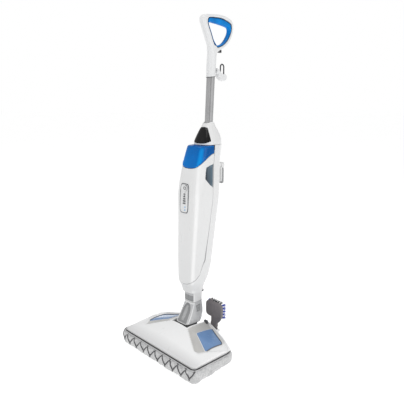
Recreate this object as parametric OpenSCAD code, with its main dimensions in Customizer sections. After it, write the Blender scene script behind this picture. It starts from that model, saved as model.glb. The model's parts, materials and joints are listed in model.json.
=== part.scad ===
// Upright floor steam mop: wide foot with a washable pad, swivelling neck,
// slim body with a lift-out water tank, metal tube and closed loop handle.
// Millimetres, +Z up, front towards -Y, origin on the floor under the neck.

/* [Foot] */
// Half width of the foot shell
foot_w = 178; // [172:1:184]
// Front edge of the foot shell, as a distance in front of the origin
foot_front = 134; // [130:1:138]
// Height of the lower edge of the foot shell
foot_z = 52; // [51:0.5:54]
// Height the foot shell rises above its rim at the crest
foot_rise = 37; // [34:1:39]
// Wall of the foot shell
foot_t = 2.6; // [2:0.1:3]

/* [Pad] */
// How far the pad stands out past the foot shell
pad_out = 13; // [10:1:15]
// Height of the pad's side wall
pad_h = 47; // [44:1:48]
// Thickness of the pad's sole
pad_sole = 11.2; // [10:0.2:11.2]

/* [Neck] */
// Height of the swivel and tilt axes
pivot_z = 72; // [70:1:74]
// Depth position of the tilt axis
pivot_y = 26; // [24:1:28]
// Half width of the neck
neck_w = 26; // [24:0.5:27]

/* [Body] */
// Wall of the body housings
wall = 2.6; // [2:0.1:3]
// Corner exponent of the body sections
sq = 3.2; // [2.6:0.1:4]
// Height of the collar round the tube
collar_z = 800; // [797:1:804]

/* [Tube and handle] */
// Radius of the metal tube
tube_r = 14.5; // [14:0.25:15]
// Wall of the metal tube
tube_t = 1.5; // [1:0.25:2]
// Half thickness of the loop handle
grip_w = 12.5; // [12.5:0.5:14]

/* [Water tank] */
// Wall of the water tank
tank_t = 2.4; // [2:0.1:3]
// Rear face of the water tank
tank_back = 107; // [104:1:108]

/* [Scrubber] */
// Left edge of the scrubber paddle
scr_x0 = 34; // [33:1:36]
// Right edge of the scrubber paddle
scr_x1 = 110; // [104:1:112]
// Height of the scrubber hinge
scr_z = 58; // [57:0.5:60]

/* [Hidden] */
lean = atan(0.06);           // backward lean of the tube
tube_y0 = 82;                // tube axis: y = tube_y0 + 0.06 z
// body sections: height, front, rear, half width
LV = [[205,13,77,33],[215,11,79,34],[230,6,84,38],[244,0,90,42],[256,-1.5,97,44.5],[272,-1,104,46],
      [300,-0.5,113,47],[347,1,120,49.5],[405,4,128,51.5],[484,8,139,54.5],[550,10.5,147.5,57],
      [600,13,150,57],[615,15,150.5,56.5],[642,21,152.5,54],[668,29.5,155,51.5],
      [704,42,161.5,48.5],[728,51,167,46],[742,58,170,43.5]];
function lvf(z) = lookup(z, [for (l = LV) [l[0], l[1]]]);
function lvr(z) = lookup(z, [for (l = LV) [l[0], l[2]]]);
function lvw(z) = lookup(z, [for (l = LV) [l[0], l[3]]]);
function sgn(v) = v < 0 ? -1 : 1;
function ss(t, n) = abs(sin(t)) < 1e-9 ? 0 : sgn(sin(t)) * pow(abs(sin(t)), 2 / n);
function sc(t, n) = abs(cos(t)) < 1e-9 ? 0 : sgn(cos(t)) * pow(abs(cos(t)), 2 / n);
// point of a section; t = 0 is the front, 90 the +X side; d is the inward offset
function sec(z, t, d, n = sq) = [(lvw(z) - d) * ss(t, n),
    (lvf(z) + lvr(z)) / 2 - ((lvr(z) - lvf(z)) / 2 - d) * sc(t, n), z];
function mix(a, b, s) = a + (b - a) * s;
// closed smooth curve through control points
function cr(a, b, c, d, s) = 0.5 * (2 * b + (c - a) * s + (2 * a - 5 * b + 4 * c - d) * s * s
    + (3 * b - a - 3 * c + d) * s * s * s);
function loop(P, k) = [for (i = [0:len(P) - 1], j = [0:k - 1])
    let (n = len(P)) cr(P[(i + n - 1) % n], P[i], P[(i + 1) % n], P[(i + 2) % n], j / k)];

// Curved shell between two grids of points. fo and fi give the outer and inner
// point of row i, column j; keep says which cells exist; wrap closes the columns.
module grid_shell(ni, nj, fo, fi, keep, wrap = false) {
    M = wrap ? nj : nj + 1;
    N = (ni + 1) * M;
    pts = concat([for (i = [0:ni], j = [0:M - 1]) fo(i, j)],
                 [for (i = [0:ni], j = [0:M - 1]) fi(i, j)]);
    ix = function(i, j) i * M + (wrap ? (j + M) % M : j);
    in = function(i, j) i >= 0 && i < ni && (wrap || (j >= 0 && j < nj)) ? keep(i, (j + nj) % nj) : false;
    faces = [for (i = [0:ni - 1], j = [0:nj - 1]) if (keep(i, j))
        let (a = ix(i, j), b = ix(i, j + 1), c = ix(i + 1, j + 1), d = ix(i + 1, j))
        each concat(
            [[a, d, c], [a, c, b], [N + a, N + c, N + d], [N + a, N + b, N + c]],
            in(i - 1, j) ? [] : [[a, b, N + b], [a, N + b, N + a]],
            in(i + 1, j) ? [] : [[c, d, N + d], [c, N + d, N + c]],
            in(i, j - 1) ? [] : [[d, a, N + a], [d, N + a, N + d]],
            in(i, j + 1) ? [] : [[b, c, N + c], [b, N + c, N + b]])];
    polyhedron(pts, faces, convexity = 8);
}
// Closed solid through rings of equal length, bottom to top, anticlockwise from above
module loft(rings) {
    M = len(rings[0]);
    R = len(rings);
    cen = function(r) [for (k = [0:2]) [for (p = r) p[k]] * [for (p = r) 1] / M];
    pts = concat([for (r = rings) each r], [cen(rings[0]), cen(rings[R - 1])]);
    faces = concat(
        [for (i = [0:R - 2], j = [0:M - 1]) let (k = (j + 1) % M, a = i * M + j, b = i * M + k,
            c = (i + 1) * M + k, d = (i + 1) * M + j) each [[a, d, c], [a, c, b]]],
        [for (j = [0:M - 1]) [j, (j + 1) % M, R * M]],
        [for (j = [0:M - 1]) [(R - 1) * M + (j + 1) % M, (R - 1) * M + j, R * M + 1]]);
    polyhedron(pts, faces, convexity = 6);
}
module along_tube(z) translate([0, tube_y0 + 0.06 * z, z]) rotate([-lean, 0, 0]) children();
module ycyl(r, y0, y1) translate([0, y0, 0]) rotate([-90, 0, 0]) cylinder(r = r, h = y1 - y0, $fn = 40);
module xcyl(r, x0, x1) translate([x0, 0, 0]) rotate([0, 90, 0]) cylinder(r = r, h = x1 - x0, $fn = 40);
module screw_y() { ycyl(3, -1.6, 0.4); ycyl(1.5, -12, -1.6); }

// ---------- foot ----------
// plan of the foot as corners with their radii, anticlockwise from the front left
PL = [[-foot_w, -foot_front, 12], [foot_w, -foot_front, 12], [foot_w + 8, 38, 28], [120, 67, 90],
      [40, 82, 60], [-40, 82, 60], [-120, 67, 90], [-foot_w - 8, 38, 28]];
function en(a, b) = let (v = [b[1] - a[1], a[0] - b[0]]) v / norm(v);       // outward normal of an edge
// the plan grown by d, seven points to a corner
function outline(d) = [for (i = [0:7]) let (p = PL[i], n1 = en(PL[(i + 7) % 8], p), n2 = en(p, PL[(i + 1) % 8]),
    m = (n1 + n2) / (1 + n1 * n2), c = [p[0], p[1]] - m * p[2], a1 = atan2(n1[1], n1[0]),
    da = atan2(n1[0] * n2[1] - n1[1] * n2[0], n1 * n2)) for (k = [0:6]) c + (p[2] + d) * [cos(a1 + da * k / 6), sin(a1 + da * k / 6)]];
function rear(ax) = lookup(ax, [[0,82],[38,82],[83,76],[120,66.5],[150,56],[172,46],[186,38],[200,30]]);
function cl(v) = min(max(v, 0), 1);
function rim(y) = foot_z - 15 * cl((y + foot_front) / 180);                 // lower edge of the shell
function half_w(y) = foot_w + 8 * cl((y + foot_front) / 170);
function ridge(ax) = lookup(ax, [[0,80],[40,78],[70,73],[106,62],[150,53],[178,45],[190,42]]);
function zt(x, y) = let (ax = min(abs(x) / half_w(y), 1), t = (y + foot_front) / (foot_front - 18), c = 1 - 0.93 * pow(ax, 1.8),
    top = rim(-18) + 3 + (foot_z + foot_rise + 8 - rim(-18) - 3) * c)
    y < -18 ? rim(y) + 3 + (top - rim(-18) - 3) * max(t, 0) * (1 + 0.35 * (1 - t))
            : mix(top, ridge(abs(x)), pow(cl((y + 18) / (rear(abs(x)) + 12)), 1.3));
XS = [0, 19, 38, 56, 76, 100, 124, 148, 168, 178];
function xs(j) = j < 9 ? -XS[9 - j] * foot_w / 178 : XS[j - 9] * foot_w / 178;
function vs(i, ax) = let (a = lookup(ax, [[0,0.505],[38,0.505],[76,0.578],[148,0.466],[178,0.44]]), b = lookup(ax, [[76,0.92],[148,0.886],[178,0.87]]))
    [0, 0.03, 0.16, 0.32, a, (a + b) / 2, b, 0.975, 1][i];
function fp(i, j) = let (x0 = xs(j), y = mix(-foot_front, rear(abs(x0)), vs(i, abs(x0))), x = x0 * half_w(y) / foot_w,
    cx = foot_w - 16, cy = 16 - foot_front, qx = (abs(x) - cx) / 16, qy = (cy - y) / 16)
    qx > 0 && qy > 0 ? let (k = max(qx, qy) / norm([qx, qy])) [sgn(x) * (cx + 16 * qx * k), cy - 16 * qy * k] : [x, y];
function foot_edge(i, j) = i == 0 || i == 8 || j == 0 || j == 18;

module foot_cover() color("white") {
    fo = function(i, j) let (p = fp(i, j)) [p[0], p[1], foot_edge(i, j) ? rim(p[1]) : zt(p[0], p[1])];
    fi = function(i, j) let (p = fp(i, j), b = foot_edge(i, j))
        [p[0] * (1 - foot_t / foot_w), mix(-30, p[1], 1 - foot_t / 100), b ? rim(p[1]) : zt(p[0], p[1]) - foot_t];
    grid_shell(8, 18, fo, fi, function(i, j) let (xm = abs(xs(j) + xs(j + 1)) / 2)
        !((xm < 36 && i >= 4) || (xm > 76 && xm < 148 && (i == 4 || i == 5))));
}
// dished trays behind the two window openings
module tray(s) {
    X = function(j) [76.6, 78, 112, 146, 147.4][j];
    f = function(i, j, d) let (x = X(s > 0 ? j : 4 - j), m = [0.01, 0.05, 0.5, 0.95, 0.99][i],
        y = mix(mix(-foot_front, rear(x), vs(4, x)), mix(-foot_front, rear(x), vs(6, x)), m),
        b = i == 0 || i == 4 || j == 0 || j == 4) [s * x, y, zt(x, y) - (b ? foot_t + 0.4 : 10) - d];
    grid_shell(4, 4, function(i, j) f(i, j, 0), function(i, j) f(i, j, 1.6), function(i, j) true);
}
module window_trays() color("gainsboro") for (s = [-1, 1]) tray(s);
module window(s) {
    f = function(i, j, d) let (x = mix(80, 144, (s > 0 ? j : 3 - j) / 3), m = mix(0.1, 0.9, i / 2),
        y = mix(mix(-foot_front, rear(x), vs(4, x)), mix(-foot_front, rear(x), vs(6, x)), m))
        [s * x, y, zt(x, y) - 6.2 - d];
    grid_shell(2, 3, function(i, j) f(i, j, 0), function(i, j) f(i, j, 2.4), function(i, j) true);
}
module windows() color("steelblue") for (s = [-1, 1]) window(s);
// floor plate of the foot with the bearing of the swivel shaft
module foot_base() color("dimgray") {
    difference() {
        union() {
            translate([0, 0, 14]) linear_extrude(5) polygon(outline(-6));
            translate([-13, -52, 18]) cube([26, 30, pivot_z - 18]);
            translate([0, 0, pivot_z]) ycyl(11, -52, -22);
            for (s = [-1, 1]) translate([s * 66 - 3, -80, 18]) cube([6, 100, 22]);
            for (s = [-1, 1], y = [-110, 10]) translate([s * 150, y, 18]) cylinder(r = 5, h = y < 0 ? 28 : 22, $fn = 32);
        }
        translate([0, 0, pivot_z]) ycyl(6.05, -60, -10);
        translate([-32, 34, 17]) cube([64, 60, 10]);
    }
}
// ring that follows the plan between two offsets and two heights
module plan_ring(d0, d1, z0, z1, skip = -1) {
    A = outline(d0); B = outline(d1);
    grid_shell(1, 56, function(i, j) let (p = B[j % 56]) [p[0], p[1], rim(p[1]) + (i == 0 ? z0 : z1)],
        function(i, j) let (p = A[j % 56]) [p[0], p[1], rim(B[j % 56][1]) + (i == 0 ? z0 : z1)], function(i, j) j != skip, true);
}
module edge_gasket() color("dimgray") plan_ring(-3.5, 2.5, -3, -0.4, 34);
module steam_manifold() color("silver") {
    translate([0, -90, 26]) xcyl(5, -90, 90);
    for (x = [-60, 0, 60]) translate([x, -90, 19.2]) cylinder(r = 3, h = 6, $fn = 32);
    translate([20, 0, 26]) ycyl(4, -90, -20);
}
module steam_jets() color("darkgoldenrod") for (x = [-60, 0, 60]) translate([x, -90, 11.2]) difference() {
    union() { cylinder(r = 3.4, h = 2.6, $fn = 32); translate([0, 0, 2.4]) cylinder(r = 2, h = 5.5, $fn = 32); }
    translate([0, 0, -1]) cylinder(r = 0.8, h = 12, $fn = 24);
}
module foot_screws() color("silver") for (s = [-1, 1], y = [-110, 10]) translate([s * 150, y, 12.2]) {
    cylinder(r = 3.2, h = 1.8, $fn = 32);
    cylinder(r = 1.6, h = 16, $fn = 24);
}
module grip_strips() color("black") for (x = [-120, 0, 120]) translate([x - 22, -70, 11.3]) cube([44, 70, 2.7]);
module scrubber_pin() color("silver") translate([0, rear(72) + 6, scr_z]) xcyl(2.5, scr_x0 + 14, scr_x1 - 14);
module scrubber_lugs() color("white") for (x = [scr_x0 + 14, scr_x1 - 20]) difference() {
    union() {
        translate([x, rear(72) + 6, scr_z]) xcyl(5, 0, 6);
        translate([x, rear(72) - 6, scr_z - 5]) cube([6, 12, 10]);
    }
    translate([x, rear(72) + 6, scr_z]) xcyl(2.5, -1, 7);
}

// ---------- pad ----------
function pad_top(y) = pad_h + rim(y) - foot_z;
module mop_pad() color("gainsboro") difference() {
    loft([for (l = [[0, 9], [0.05, pad_out - 1], [0.2, pad_out + 0.5], [0.6, pad_out + 1], [0.9, pad_out - 2], [1, pad_out - 7]])
        [for (p = outline(l[1])) [p[0], p[1], l[0] * pad_top(p[1])]]]);
    translate([0, 0, pad_sole]) linear_extrude(60) polygon(outline(0.5));
    translate([-38, 50, 24]) cube([76, 60, 40]);
}
module pad_binding() color("gray") plan_ring(1, pad_out - 7, -4.9, -3.1, 34);
// zigzag lace round the side of the pad: along the front, then back along each side
LN = 26;
function lace_xy(i) = let (k = i - LN / 2, a = abs(k), o = pad_out + 2.4)
    a <= 9 ? [k * 19, -foot_front - o] : [sgn(k) * (foot_w + o + (a - 9) * 0.9), -foot_front + 4 + (a - 9.5) * 21];
function lace_pt(i) = let (p = lace_xy(i)) [p[0], p[1], i % 2 == 0 ? pad_top(p[1]) - 6 : 17];
module rod(a, b, r) {
    v = b - a; l = norm(v);
    translate(a + v * (1.6 / l)) rotate([0, acos(v[2] / l), atan2(v[1], v[0])]) cylinder(r = r, h = l - 3.2, $fn = 13);
}
module pad_lace() color("dimgray") for (i = [0:LN - 1]) rod(lace_pt(i), lace_pt(i + 1), 1.1);

// ---------- swivel and neck ----------
module swivel_block() color("gray") difference() {
    union() {
        translate([0, 0, pivot_z]) ycyl(6, -54, pivot_y - 12);
        translate([0, 0, pivot_z]) ycyl(14, -20, pivot_y - 14);
        translate([-15, pivot_y - 15, pivot_z - 13]) cube([30, 27, 26]);
    }
    translate([0, pivot_y, pivot_z]) xcyl(5, -30, 30);
}
module swivel_clip() color("silver") translate([0, 0, pivot_z]) difference() {
    ycyl(9, -53.6, -52.4);
    ycyl(6.05, -60, -40);
}
module tilt_pin() color("silver") translate([0, pivot_y, pivot_z]) xcyl(5, -24, 24);
NK = [[166, 23.5, 74.5], [212, 24.5, 77]];
module neck_frame() color("dimgray") difference() {
    union() {
        for (s = [-1, 1]) translate([s * 19.5 - 3, pivot_y - 11, pivot_z]) cube([6, 30, 62]);
        for (s = [-1, 1]) translate([s * 19.5, pivot_y, pivot_z]) xcyl(11, -3, 3);
        translate([-22.5, pivot_y - 11, 122]) cube([45, 40, 12]);
        translate([0, 46, 130]) cylinder(r = 13, h = 100, $fn = 48);
        translate([0, 45, 206]) cylinder(r = 27.5, h = 6, $fn = 64);
    }
    translate([0, pivot_y, pivot_z]) xcyl(5.05, -30, 30);
    translate([0, 46, 100]) cylinder(r = 8, h = 140, $fn = 40);
}
// bell-shaped cover over the joint: height at front, front, rear, half width, height at rear
BL = [[95, -16, 62, 30, 83], [104, -11, 66, 30.5, 96], [118, -1, 72, 30, 114], [136, 10, 74, 28.5, 134], [152, 19, 74, 27, 151], [165, 23.5, 74, 26, 165]];
module yoke_shell() color("darkgray") {
    f = function(i, j, d) let (b = BL[i], t = 360 * j / 36, c = sc(t, 4.5))
        [(b[3] - d) * ss(t, 4.5), (b[1] + b[2]) / 2 - ((b[2] - b[1]) / 2 - d) * c, mix(b[0], b[4], (1 - c) / 2)];
    grid_shell(5, 36, function(i, j) f(i, j, 0), function(i, j) f(i, j, 2.4), function(i, j) true, true);
}
module neck_sleeve() color("whitesmoke") {
    f = function(i, j, d) let (z = [166, 180, 196, 203.5][i], t = 360 * j / 36, yf = mix(23.5, 24.5, (z - 166) / 46), yr = mix(74.5, 77, (z - 166) / 46))
        [(neck_w - d) * ss(t, 4), (yf + yr) / 2 - ((yr - yf) / 2 - d) * sc(t, 4), z];
    grid_shell(3, 36, function(i, j) f(i, j, 0), function(i, j) f(i, j, 2.4), function(i, j) true, true);
}
module neck_insert() color("gray") {
    f = function(i, j, d) let (z = mix(169, 202, i / 2), t = -40 + 80 * j / 10)
        [(neck_w + 1.4 - d) * ss(t, 4), 49.5 - (25.5 + 2.2 - d) * sc(t, 4), z];
    grid_shell(2, 10, function(i, j) f(i, j, 0), function(i, j) f(i, j, 1.2), function(i, j) true);
}

// ---------- body ----------
// lower edge of the front cover, and lower and upper edges of the tank, round the body
function zlow(t) = lookup(min(abs(t), 90), [[0,242],[15,246],[30,251],[45,256],[60,262],[70,268],[80,278],[90,326]]);
function ztb(t) = lookup(min(abs(t), 90), [[0,655],[15,659],[30,666],[45,675],[60,684],[75,693],[90,703]]);
tank_top = 729.6;            // flat top of the tank
// the seam between the covers runs a little behind the widest line of the body
function seam(z) = lookup(z, [[326,0.03],[380,0.5],[436,1.5],[490,2.4],[560,3.1],[620,3],[664,2.2],[704,1.2],[731,0.4]]);
gap = 0.006;
// lower and upper ends of the grip recess in the sides of the cover
function grip_lo(a) = lookup(a, [[75,620],[90,582]]);
function grip_hi(a) = lookup(a, [[75,652],[90,665]]);
module front_cover() color("white") {
    ni = 14; nj = 24;
    HI = [0, 0.07, 0.15, 0.25, 0.36, 0.46, 0.56, 0.64, 0.72, 0.80, 0.845, 0.89, 0.93, 0.97, 1];
    zz = function(i, j) let (t = -90 + 180 * j / nj, a = abs(t), lo = zlow(t) + 1, hi = ztb(t) - 1,
        za = grip_lo(a), zb = grip_hi(a), w = cl((a - 60) / 15))
        mix(mix(lo, hi, HI[i]), i <= 7 ? mix(lo, za, HI[i] / HI[7]) : i <= 12 ? mix(za, zb, (i - 7) / 5) : mix(zb, hi, (i - 12) / 2), w);
    f = function(i, j, d) let (z = zz(i, j), t = -90 + 180 * j / nj,
        k = (90 + seam(z) - gap) / 90) sec(z, t * k, d);
    difference() {
        grid_shell(ni, nj, function(i, j) f(i, j, 0), function(i, j) f(i, j, wall),
            function(i, j) !((j < 2 || j > nj - 3) && i >= 7 && i < 12));
        translate([0, 0, 590]) ycyl(9.5, -5, 40);
    }
}
module rear_housing() color("white") {
    nj = 48;
    n1 = 4;
    zz = function(i, j) let (t = 7.5 * j, a = t > 180 ? 360 - t : t, zl = a <= 90 ? zlow(a) - 1 : 326)
        i <= n1 ? mix(205, zl, i / n1) : mix(zl, 731, (i - n1) / 14);
    f = function(i, j, d) let (z = zz(i, j), t = 7.5 * j - (j > 24 ? 360 : 0), a = abs(t), s = seam(z) + gap,
        b = a <= 90 ? a * (90 + s) / 90 : 180 - (180 - a) * (90 - s) / 90) sec(z, t < 0 ? -b : b, d);
    grid_shell(n1 + 14, nj, function(i, j) f(i, j, 0), function(i, j) f(i, j, wall),
        function(i, j) i < n1 || (j >= 12 && j < 36), true);
}
// shoulder round the tube, with a sloped front that carries the name plate
TH = [[731.5, 80, 167, 44], [745, 84.5, 168.5, 42], [757, 89.5, 167.5, 38], [770, 95.5, 163, 32.5], [782, 101, 157, 26.5], [792, 106.5, 151, 21], [800, 110.5, 148, 18.5]];
module top_housing() color("white") {
    f = function(i, j, d) let (b = TH[i], t = 7.5 * j, u = pow(abs(sin(t)), 3))
        [(b[3] - d) * ss(t, 2.8), (b[1] + b[2]) / 2 - ((b[2] - b[1]) / 2 - d) * sc(t, 2.8), b[0] + (i == 6 ? collar_z - 800 + 5 * u : 0)];
    grid_shell(6, 48, function(i, j) f(i, j, 0), function(i, j) f(i, j, wall), function(i, j) true, true);
}
module name_plate() color("black") {
    f = function(i, j, d) let (v = j / 5 - 1, s = mix(0.55 + 0.65 * v * v, 4.9 - 0.3 * v * v, i / 4), k = floor(s), q = s - k, t = v * mix(52, 26, pow(i / 4, 1.2)),
        b = [for (m = [0:3]) mix(TH[k][m], TH[k + 1][m], q)])
        [(b[3] + 0.4 - d) * ss(t, 2.8), (b[1] + b[2]) / 2 - ((b[2] - b[1]) / 2 + 1.8 - d) * sc(t, 2.8), b[0]];
    grid_shell(4, 10, function(i, j) f(i, j, 0), function(i, j) f(i, j, 1.5), function(i, j) true);
}
module control_bezel() color("dimgray") difference() {
    f = function(i, j, d) let (z = mix(492, 605, i / 4), p = sec(z, mix(-14, 14, j / 8), 0)) [p[0] * 0.84, p[1] - 2.4 + d, z];
    grid_shell(4, 8, function(i, j) f(i, j, 0), function(i, j) f(i, j, 2), function(i, j) true);
    translate([0, 0, 590]) ycyl(9.3, -20, 40);
}
module power_button() color("white") translate([0, 0, 590]) { ycyl(9, 8.6, 12); ycyl(4, 12, 21); }
module button_spring() color("silver") translate([0, 12.1, 590]) rotate([-90, 0, 0]) difference() {
    cylinder(r = 6.5, h = 18.2, $fn = 32);
    translate([0, 0, -1]) cylinder(r = 5.2, h = 24, $fn = 32);
}
module indicator_lenses() color("lightskyblue") for (z = [512, 522, 532]) translate([0, 0, z]) ycyl(2.4, 4.2, 6.4);
module grip_liner(s) {
    f = function(i, j, d) let (v = [0, 0.04, 0.5, 0.96, 1][i], b = i == 0 || i == 4 || (s > 0 ? j == 0 : j == 3),
        q = (s > 0 ? j : 3 - j) / 3, a = mix(73, 90, q), z = mix(grip_lo(a) - 4, grip_hi(a) + 4, v), t = a + 2.6 * q) sec(z, s * t, (b ? wall + 0.5 : 13) + d);
    grid_shell(4, 3, function(i, j) f(i, j, 0), function(i, j) f(i, j, 1.5), function(i, j) true);
}
module grip_liners() color("slategray") for (s = [-1, 1]) grip_liner(s);
module cord_hook_lower() color("white") difference() {
    union() {
        translate([-9, 157.5, 646]) cube([18, 42, 14]);
        translate([-9, 192, 588]) cube([18, 10, 72]);
        translate([-14, 190, 640]) cube([28, 14, 20]);
    }
    translate([-20, 158, 630]) cube([4, 40, 40]);
}
module hook_tip() color("dimgray") translate([-7, 202.2, 586]) cube([14, 4, 62]);
module housing_screws() color("silver") for (s = [-1, 1], z = [300, 470, 620]) translate([s * 20, lvr(z) - 0.6, z]) screw_y();

// ---------- inside the body ----------
module boiler() color("silver") translate([0, 63, 262]) difference() {
    cylinder(r = 30, h = 118, $fn = 64);
    translate([0, 0, 8]) cylinder(r = 25, h = 102, $fn = 64);
    translate([0, 0, -1]) cylinder(r = 4, h = 12, $fn = 32);
    translate([0, 14, 105]) cylinder(r = 3, h = 20, $fn = 32);
}
module boiler_clamps() color("gray") for (z = [285, 350]) translate([0, 63, z]) difference() {
    union() { cylinder(r = 33, h = 8, $fn = 64); translate([-8, 30, 0]) cube([16, 10.5, 8]); }
    translate([0, 0, -1]) cylinder(r = 30.1, h = 10, $fn = 64);
}
module thermostat() color("black") translate([0, 63, 322]) rotate([90, 0, 0]) { translate([0, 0, 30.1]) cylinder(r = 8, h = 7, $fn = 40); translate([0, 0, 37]) cylinder(r = 3, h = 4, $fn = 24); }
module pump() color("darkslategray") {
    translate([0, 82, 420]) cylinder(r = 15, h = 70, $fn = 48);
    translate([-20, 64, 440]) cube([40, 36, 30]);
}
module pump_mounts() color("black") for (z = [412, 490.2]) translate([0, 82, z]) difference() { cylinder(r = 17, h = 7.8, $fn = 48); translate([0, 0, -1]) cylinder(r = 3.6, h = 10, $fn = 32); }
module pump_hoses() color("lightgray") { inlet_hose(); outlet_hose(); }
module inlet_hose() difference() {
    union() {
        translate([0, 82, 498.2]) cylinder(r = 4, h = 65.8, $fn = 32);
        translate([0, 82, 560]) xcyl(4, 0, 36);
        translate([32, 0, 560]) ycyl(4, 78, 119);
        translate([32, 115, 556]) cylinder(r = 4, h = 148.8, $fn = 32);
    }
    translate([0, 82, 490]) cylinder(r = 2.4, h = 70, $fn = 24);
    translate([32, 115, 560]) cylinder(r = 2.4, h = 150, $fn = 24);
}
module outlet_hose() difference() {
    translate([0, 77, 380.2]) cylinder(r = 3.5, h = 31.6, $fn = 32);
    translate([0, 77, 370]) cylinder(r = 1.8, h = 60, $fn = 24);
}
module steam_hose() color("dimgray") difference() {
    union() { translate([0, 46, 104]) cylinder(r = 6, h = 150, $fn = 32); translate([0, 46, 253]) ycyl(6, 0, 18); translate([0, 63, 250]) cylinder(r = 6, h = 11.8, $fn = 32); }
    translate([0, 46, 100]) cylinder(r = 3.5, h = 150, $fn = 24);
}
module control_board() color("darkgreen") { translate([-30, 34, 500]) cube([60, 1.6, 110]); translate([-16, 35.6, 520]) cube([32, 14, 24]); translate([-4, 30.5, 590]) cube([8, 3.5, 8]); }
module chassis() color("lightgray") difference() {
    union() {
        translate([-26, 108, 400]) cube([52, 3, 250]);
        along_tube(640) cylinder(r = 19, h = 90, $fn = 56);
        translate([-26, 96, 405]) cube([52, 14, 4]);
        translate([-26, 96, 500]) cube([52, 14, 4]);
        translate([12, 118, 706]) cube([18, 6, 16]);
        translate([32, 0, 714]) ycyl(9, 112.6, 128);
    }
    along_tube(638) cylinder(r = tube_r, h = 120, $fn = 56);
    translate([32, 0, 714]) ycyl(6.6, 100, 118);
    translate([32, 115, 704.7]) cylinder(r = 3, h = 9, $fn = 24);
}
module dock_seal() color("black") translate([32, 0, 714]) difference() { ycyl(6.6, 113.6, 118); ycyl(3, 110, 140); }

// ---------- water tank ----------
// outline of the tank from the left edge round the front to the right edge, then
// inwards past the rear housing and back round the tube socket
module tank_solid(d, lo, hi, back) {
    k = 24;
    ring = function(m) let (zb = ztb(90) + lo, zr = mix(zb, tank_top - hi, m), x = lvw(zr) - wall - 1.2 - d, ys = lvf(zr) / 2 + lvr(zr) / 2 + 3) concat(
        [for (j = [0:k]) let (t = -90 + 180 * j / k, z = mix(ztb(t) + lo, tank_top - hi, m), a = 90 + seam(z) - 0.9) sec(z, t * a / 90, d)],
        [[x, ys, zr], for (p = back) [abs(p[0]) > 50 ? sign(p[0]) * x : p[0], p[1], zr], [-x, ys, zr]]);
    loft([for (m = [0, 0.06, 0.3, 0.6, 0.9, 1]) ring(m)]);
}
module water_tank() color("dodgerblue") difference() {
    tank_solid(0, 0.6, 0, [[99, tank_back], [30, tank_back], [19, tank_back - 8], [-19, tank_back - 8], [-30, tank_back], [-99, tank_back]]);
    intersection() {
        tank_solid(tank_t, 3.6, 2.6, [[99, 130], [-99, 130]]);
        translate([0, 0, 600]) linear_extrude(200) polygon([[-80, -20], [80, -20], [80, tank_back - tank_t], [30 + tank_t, tank_back - tank_t],
            [19 + tank_t, tank_back - tank_t - 8], [-19 - tank_t, tank_back - tank_t - 8], [-30 - tank_t, tank_back - tank_t], [-80, tank_back - tank_t]]);
    }
    translate([0, 64, 715]) cylinder(r = 8.9, h = 20, $fn = 48);
}
module tank_cap() color("royalblue") translate([0, 64, 0]) difference() {
    union() { translate([0, 0, tank_top + 0.3]) cylinder(r = 10.6, h = 1.3, $fn = 48); translate([0, 0, 719]) cylinder(r = 8.5, h = 11.5, $fn = 48); }
    translate([0, 0, 716]) cylinder(r = 6.2, h = 10, $fn = 40);
}
module tank_valve() color("white") translate([32, 0, 714]) difference() { ycyl(5, tank_back - 5, 113); ycyl(2.2, tank_back - 8, 130); }

// ---------- tube and handle ----------
module handle_tube() color("silver") along_tube(642) difference() {
    cylinder(r = tube_r, h = 352, $fn = 64);
    translate([0, 0, -1]) cylinder(r = tube_r - tube_t, h = 354, $fn = 64);
}
OUT = [[131,1036],[129,1054],[119,1077],[107,1100],[95,1124],[92,1138],[100,1148],[120,1152],[150,1156],[183,1158],[216,1155],[237,1147],[246,1132],[243,1109],[232,1086],[216,1068],[196,1054],[174,1044],[160,1036]];
MID = [[154,1058],[141,1072],[129,1096],[116,1121],[116,1136],[126,1143],[156,1146],[186,1147],[215,1143],[233,1135],[237,1116],[230,1097],[217,1080],[198,1066],[176,1057],[163,1054]];
INN = [[156,1064],[144,1077],[132,1100],[120,1122],[123,1129],[148,1130],[186,1128],[217,1123],[227,1115],[223,1098],[213,1082],[196,1070],[176,1062],[163,1060]];
module yz(h) rotate([90, 0, 90]) linear_extrude(h) children();
module handle_half() {
    difference() {
        union() {
            translate([0.05, 0, 0]) yz(grip_w - 0.05) difference() { polygon(loop(OUT, 3)); polygon(loop(MID, 3)); }
            intersection() {
                along_tube(955) cylinder(r = 16, h = 92, $fn = 56);
                translate([0.05, 100, 900]) cube([40, 100, 142]);
            }
        }
        along_tube(930) cylinder(r = tube_r, h = 65, $fn = 56);
    }
}
module handle_right() color("white") handle_half();
module handle_left() color("white") mirror([1, 0, 0]) handle_half();
module grip_insert() color("dodgerblue") translate([-10.5, 0, 0]) yz(21) difference() { polygon(loop(MID, 3)); polygon(loop(INN, 3)); }
module handle_screws() color("silver") {
    for (p = [[108, 1116], [240, 1128], [150, 1044]]) translate([-grip_w - 0.4, p[0], p[1]]) { xcyl(2.6, 0, 2); xcyl(1.4, 2, 22); }
    translate([0, 0, 972]) { ycyl(3, 122, 124.5); ycyl(1.6, 124.5, 133); }
}
module cord_clip() color("dimgray") translate([-5, 0, 0]) yz(10) polygon([[177, 1053], [177, 1039], [191, 1039], [191, 1049], [188.5, 1049], [188.5, 1041.5], [180, 1041.5], [180, 1053]]);
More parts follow.
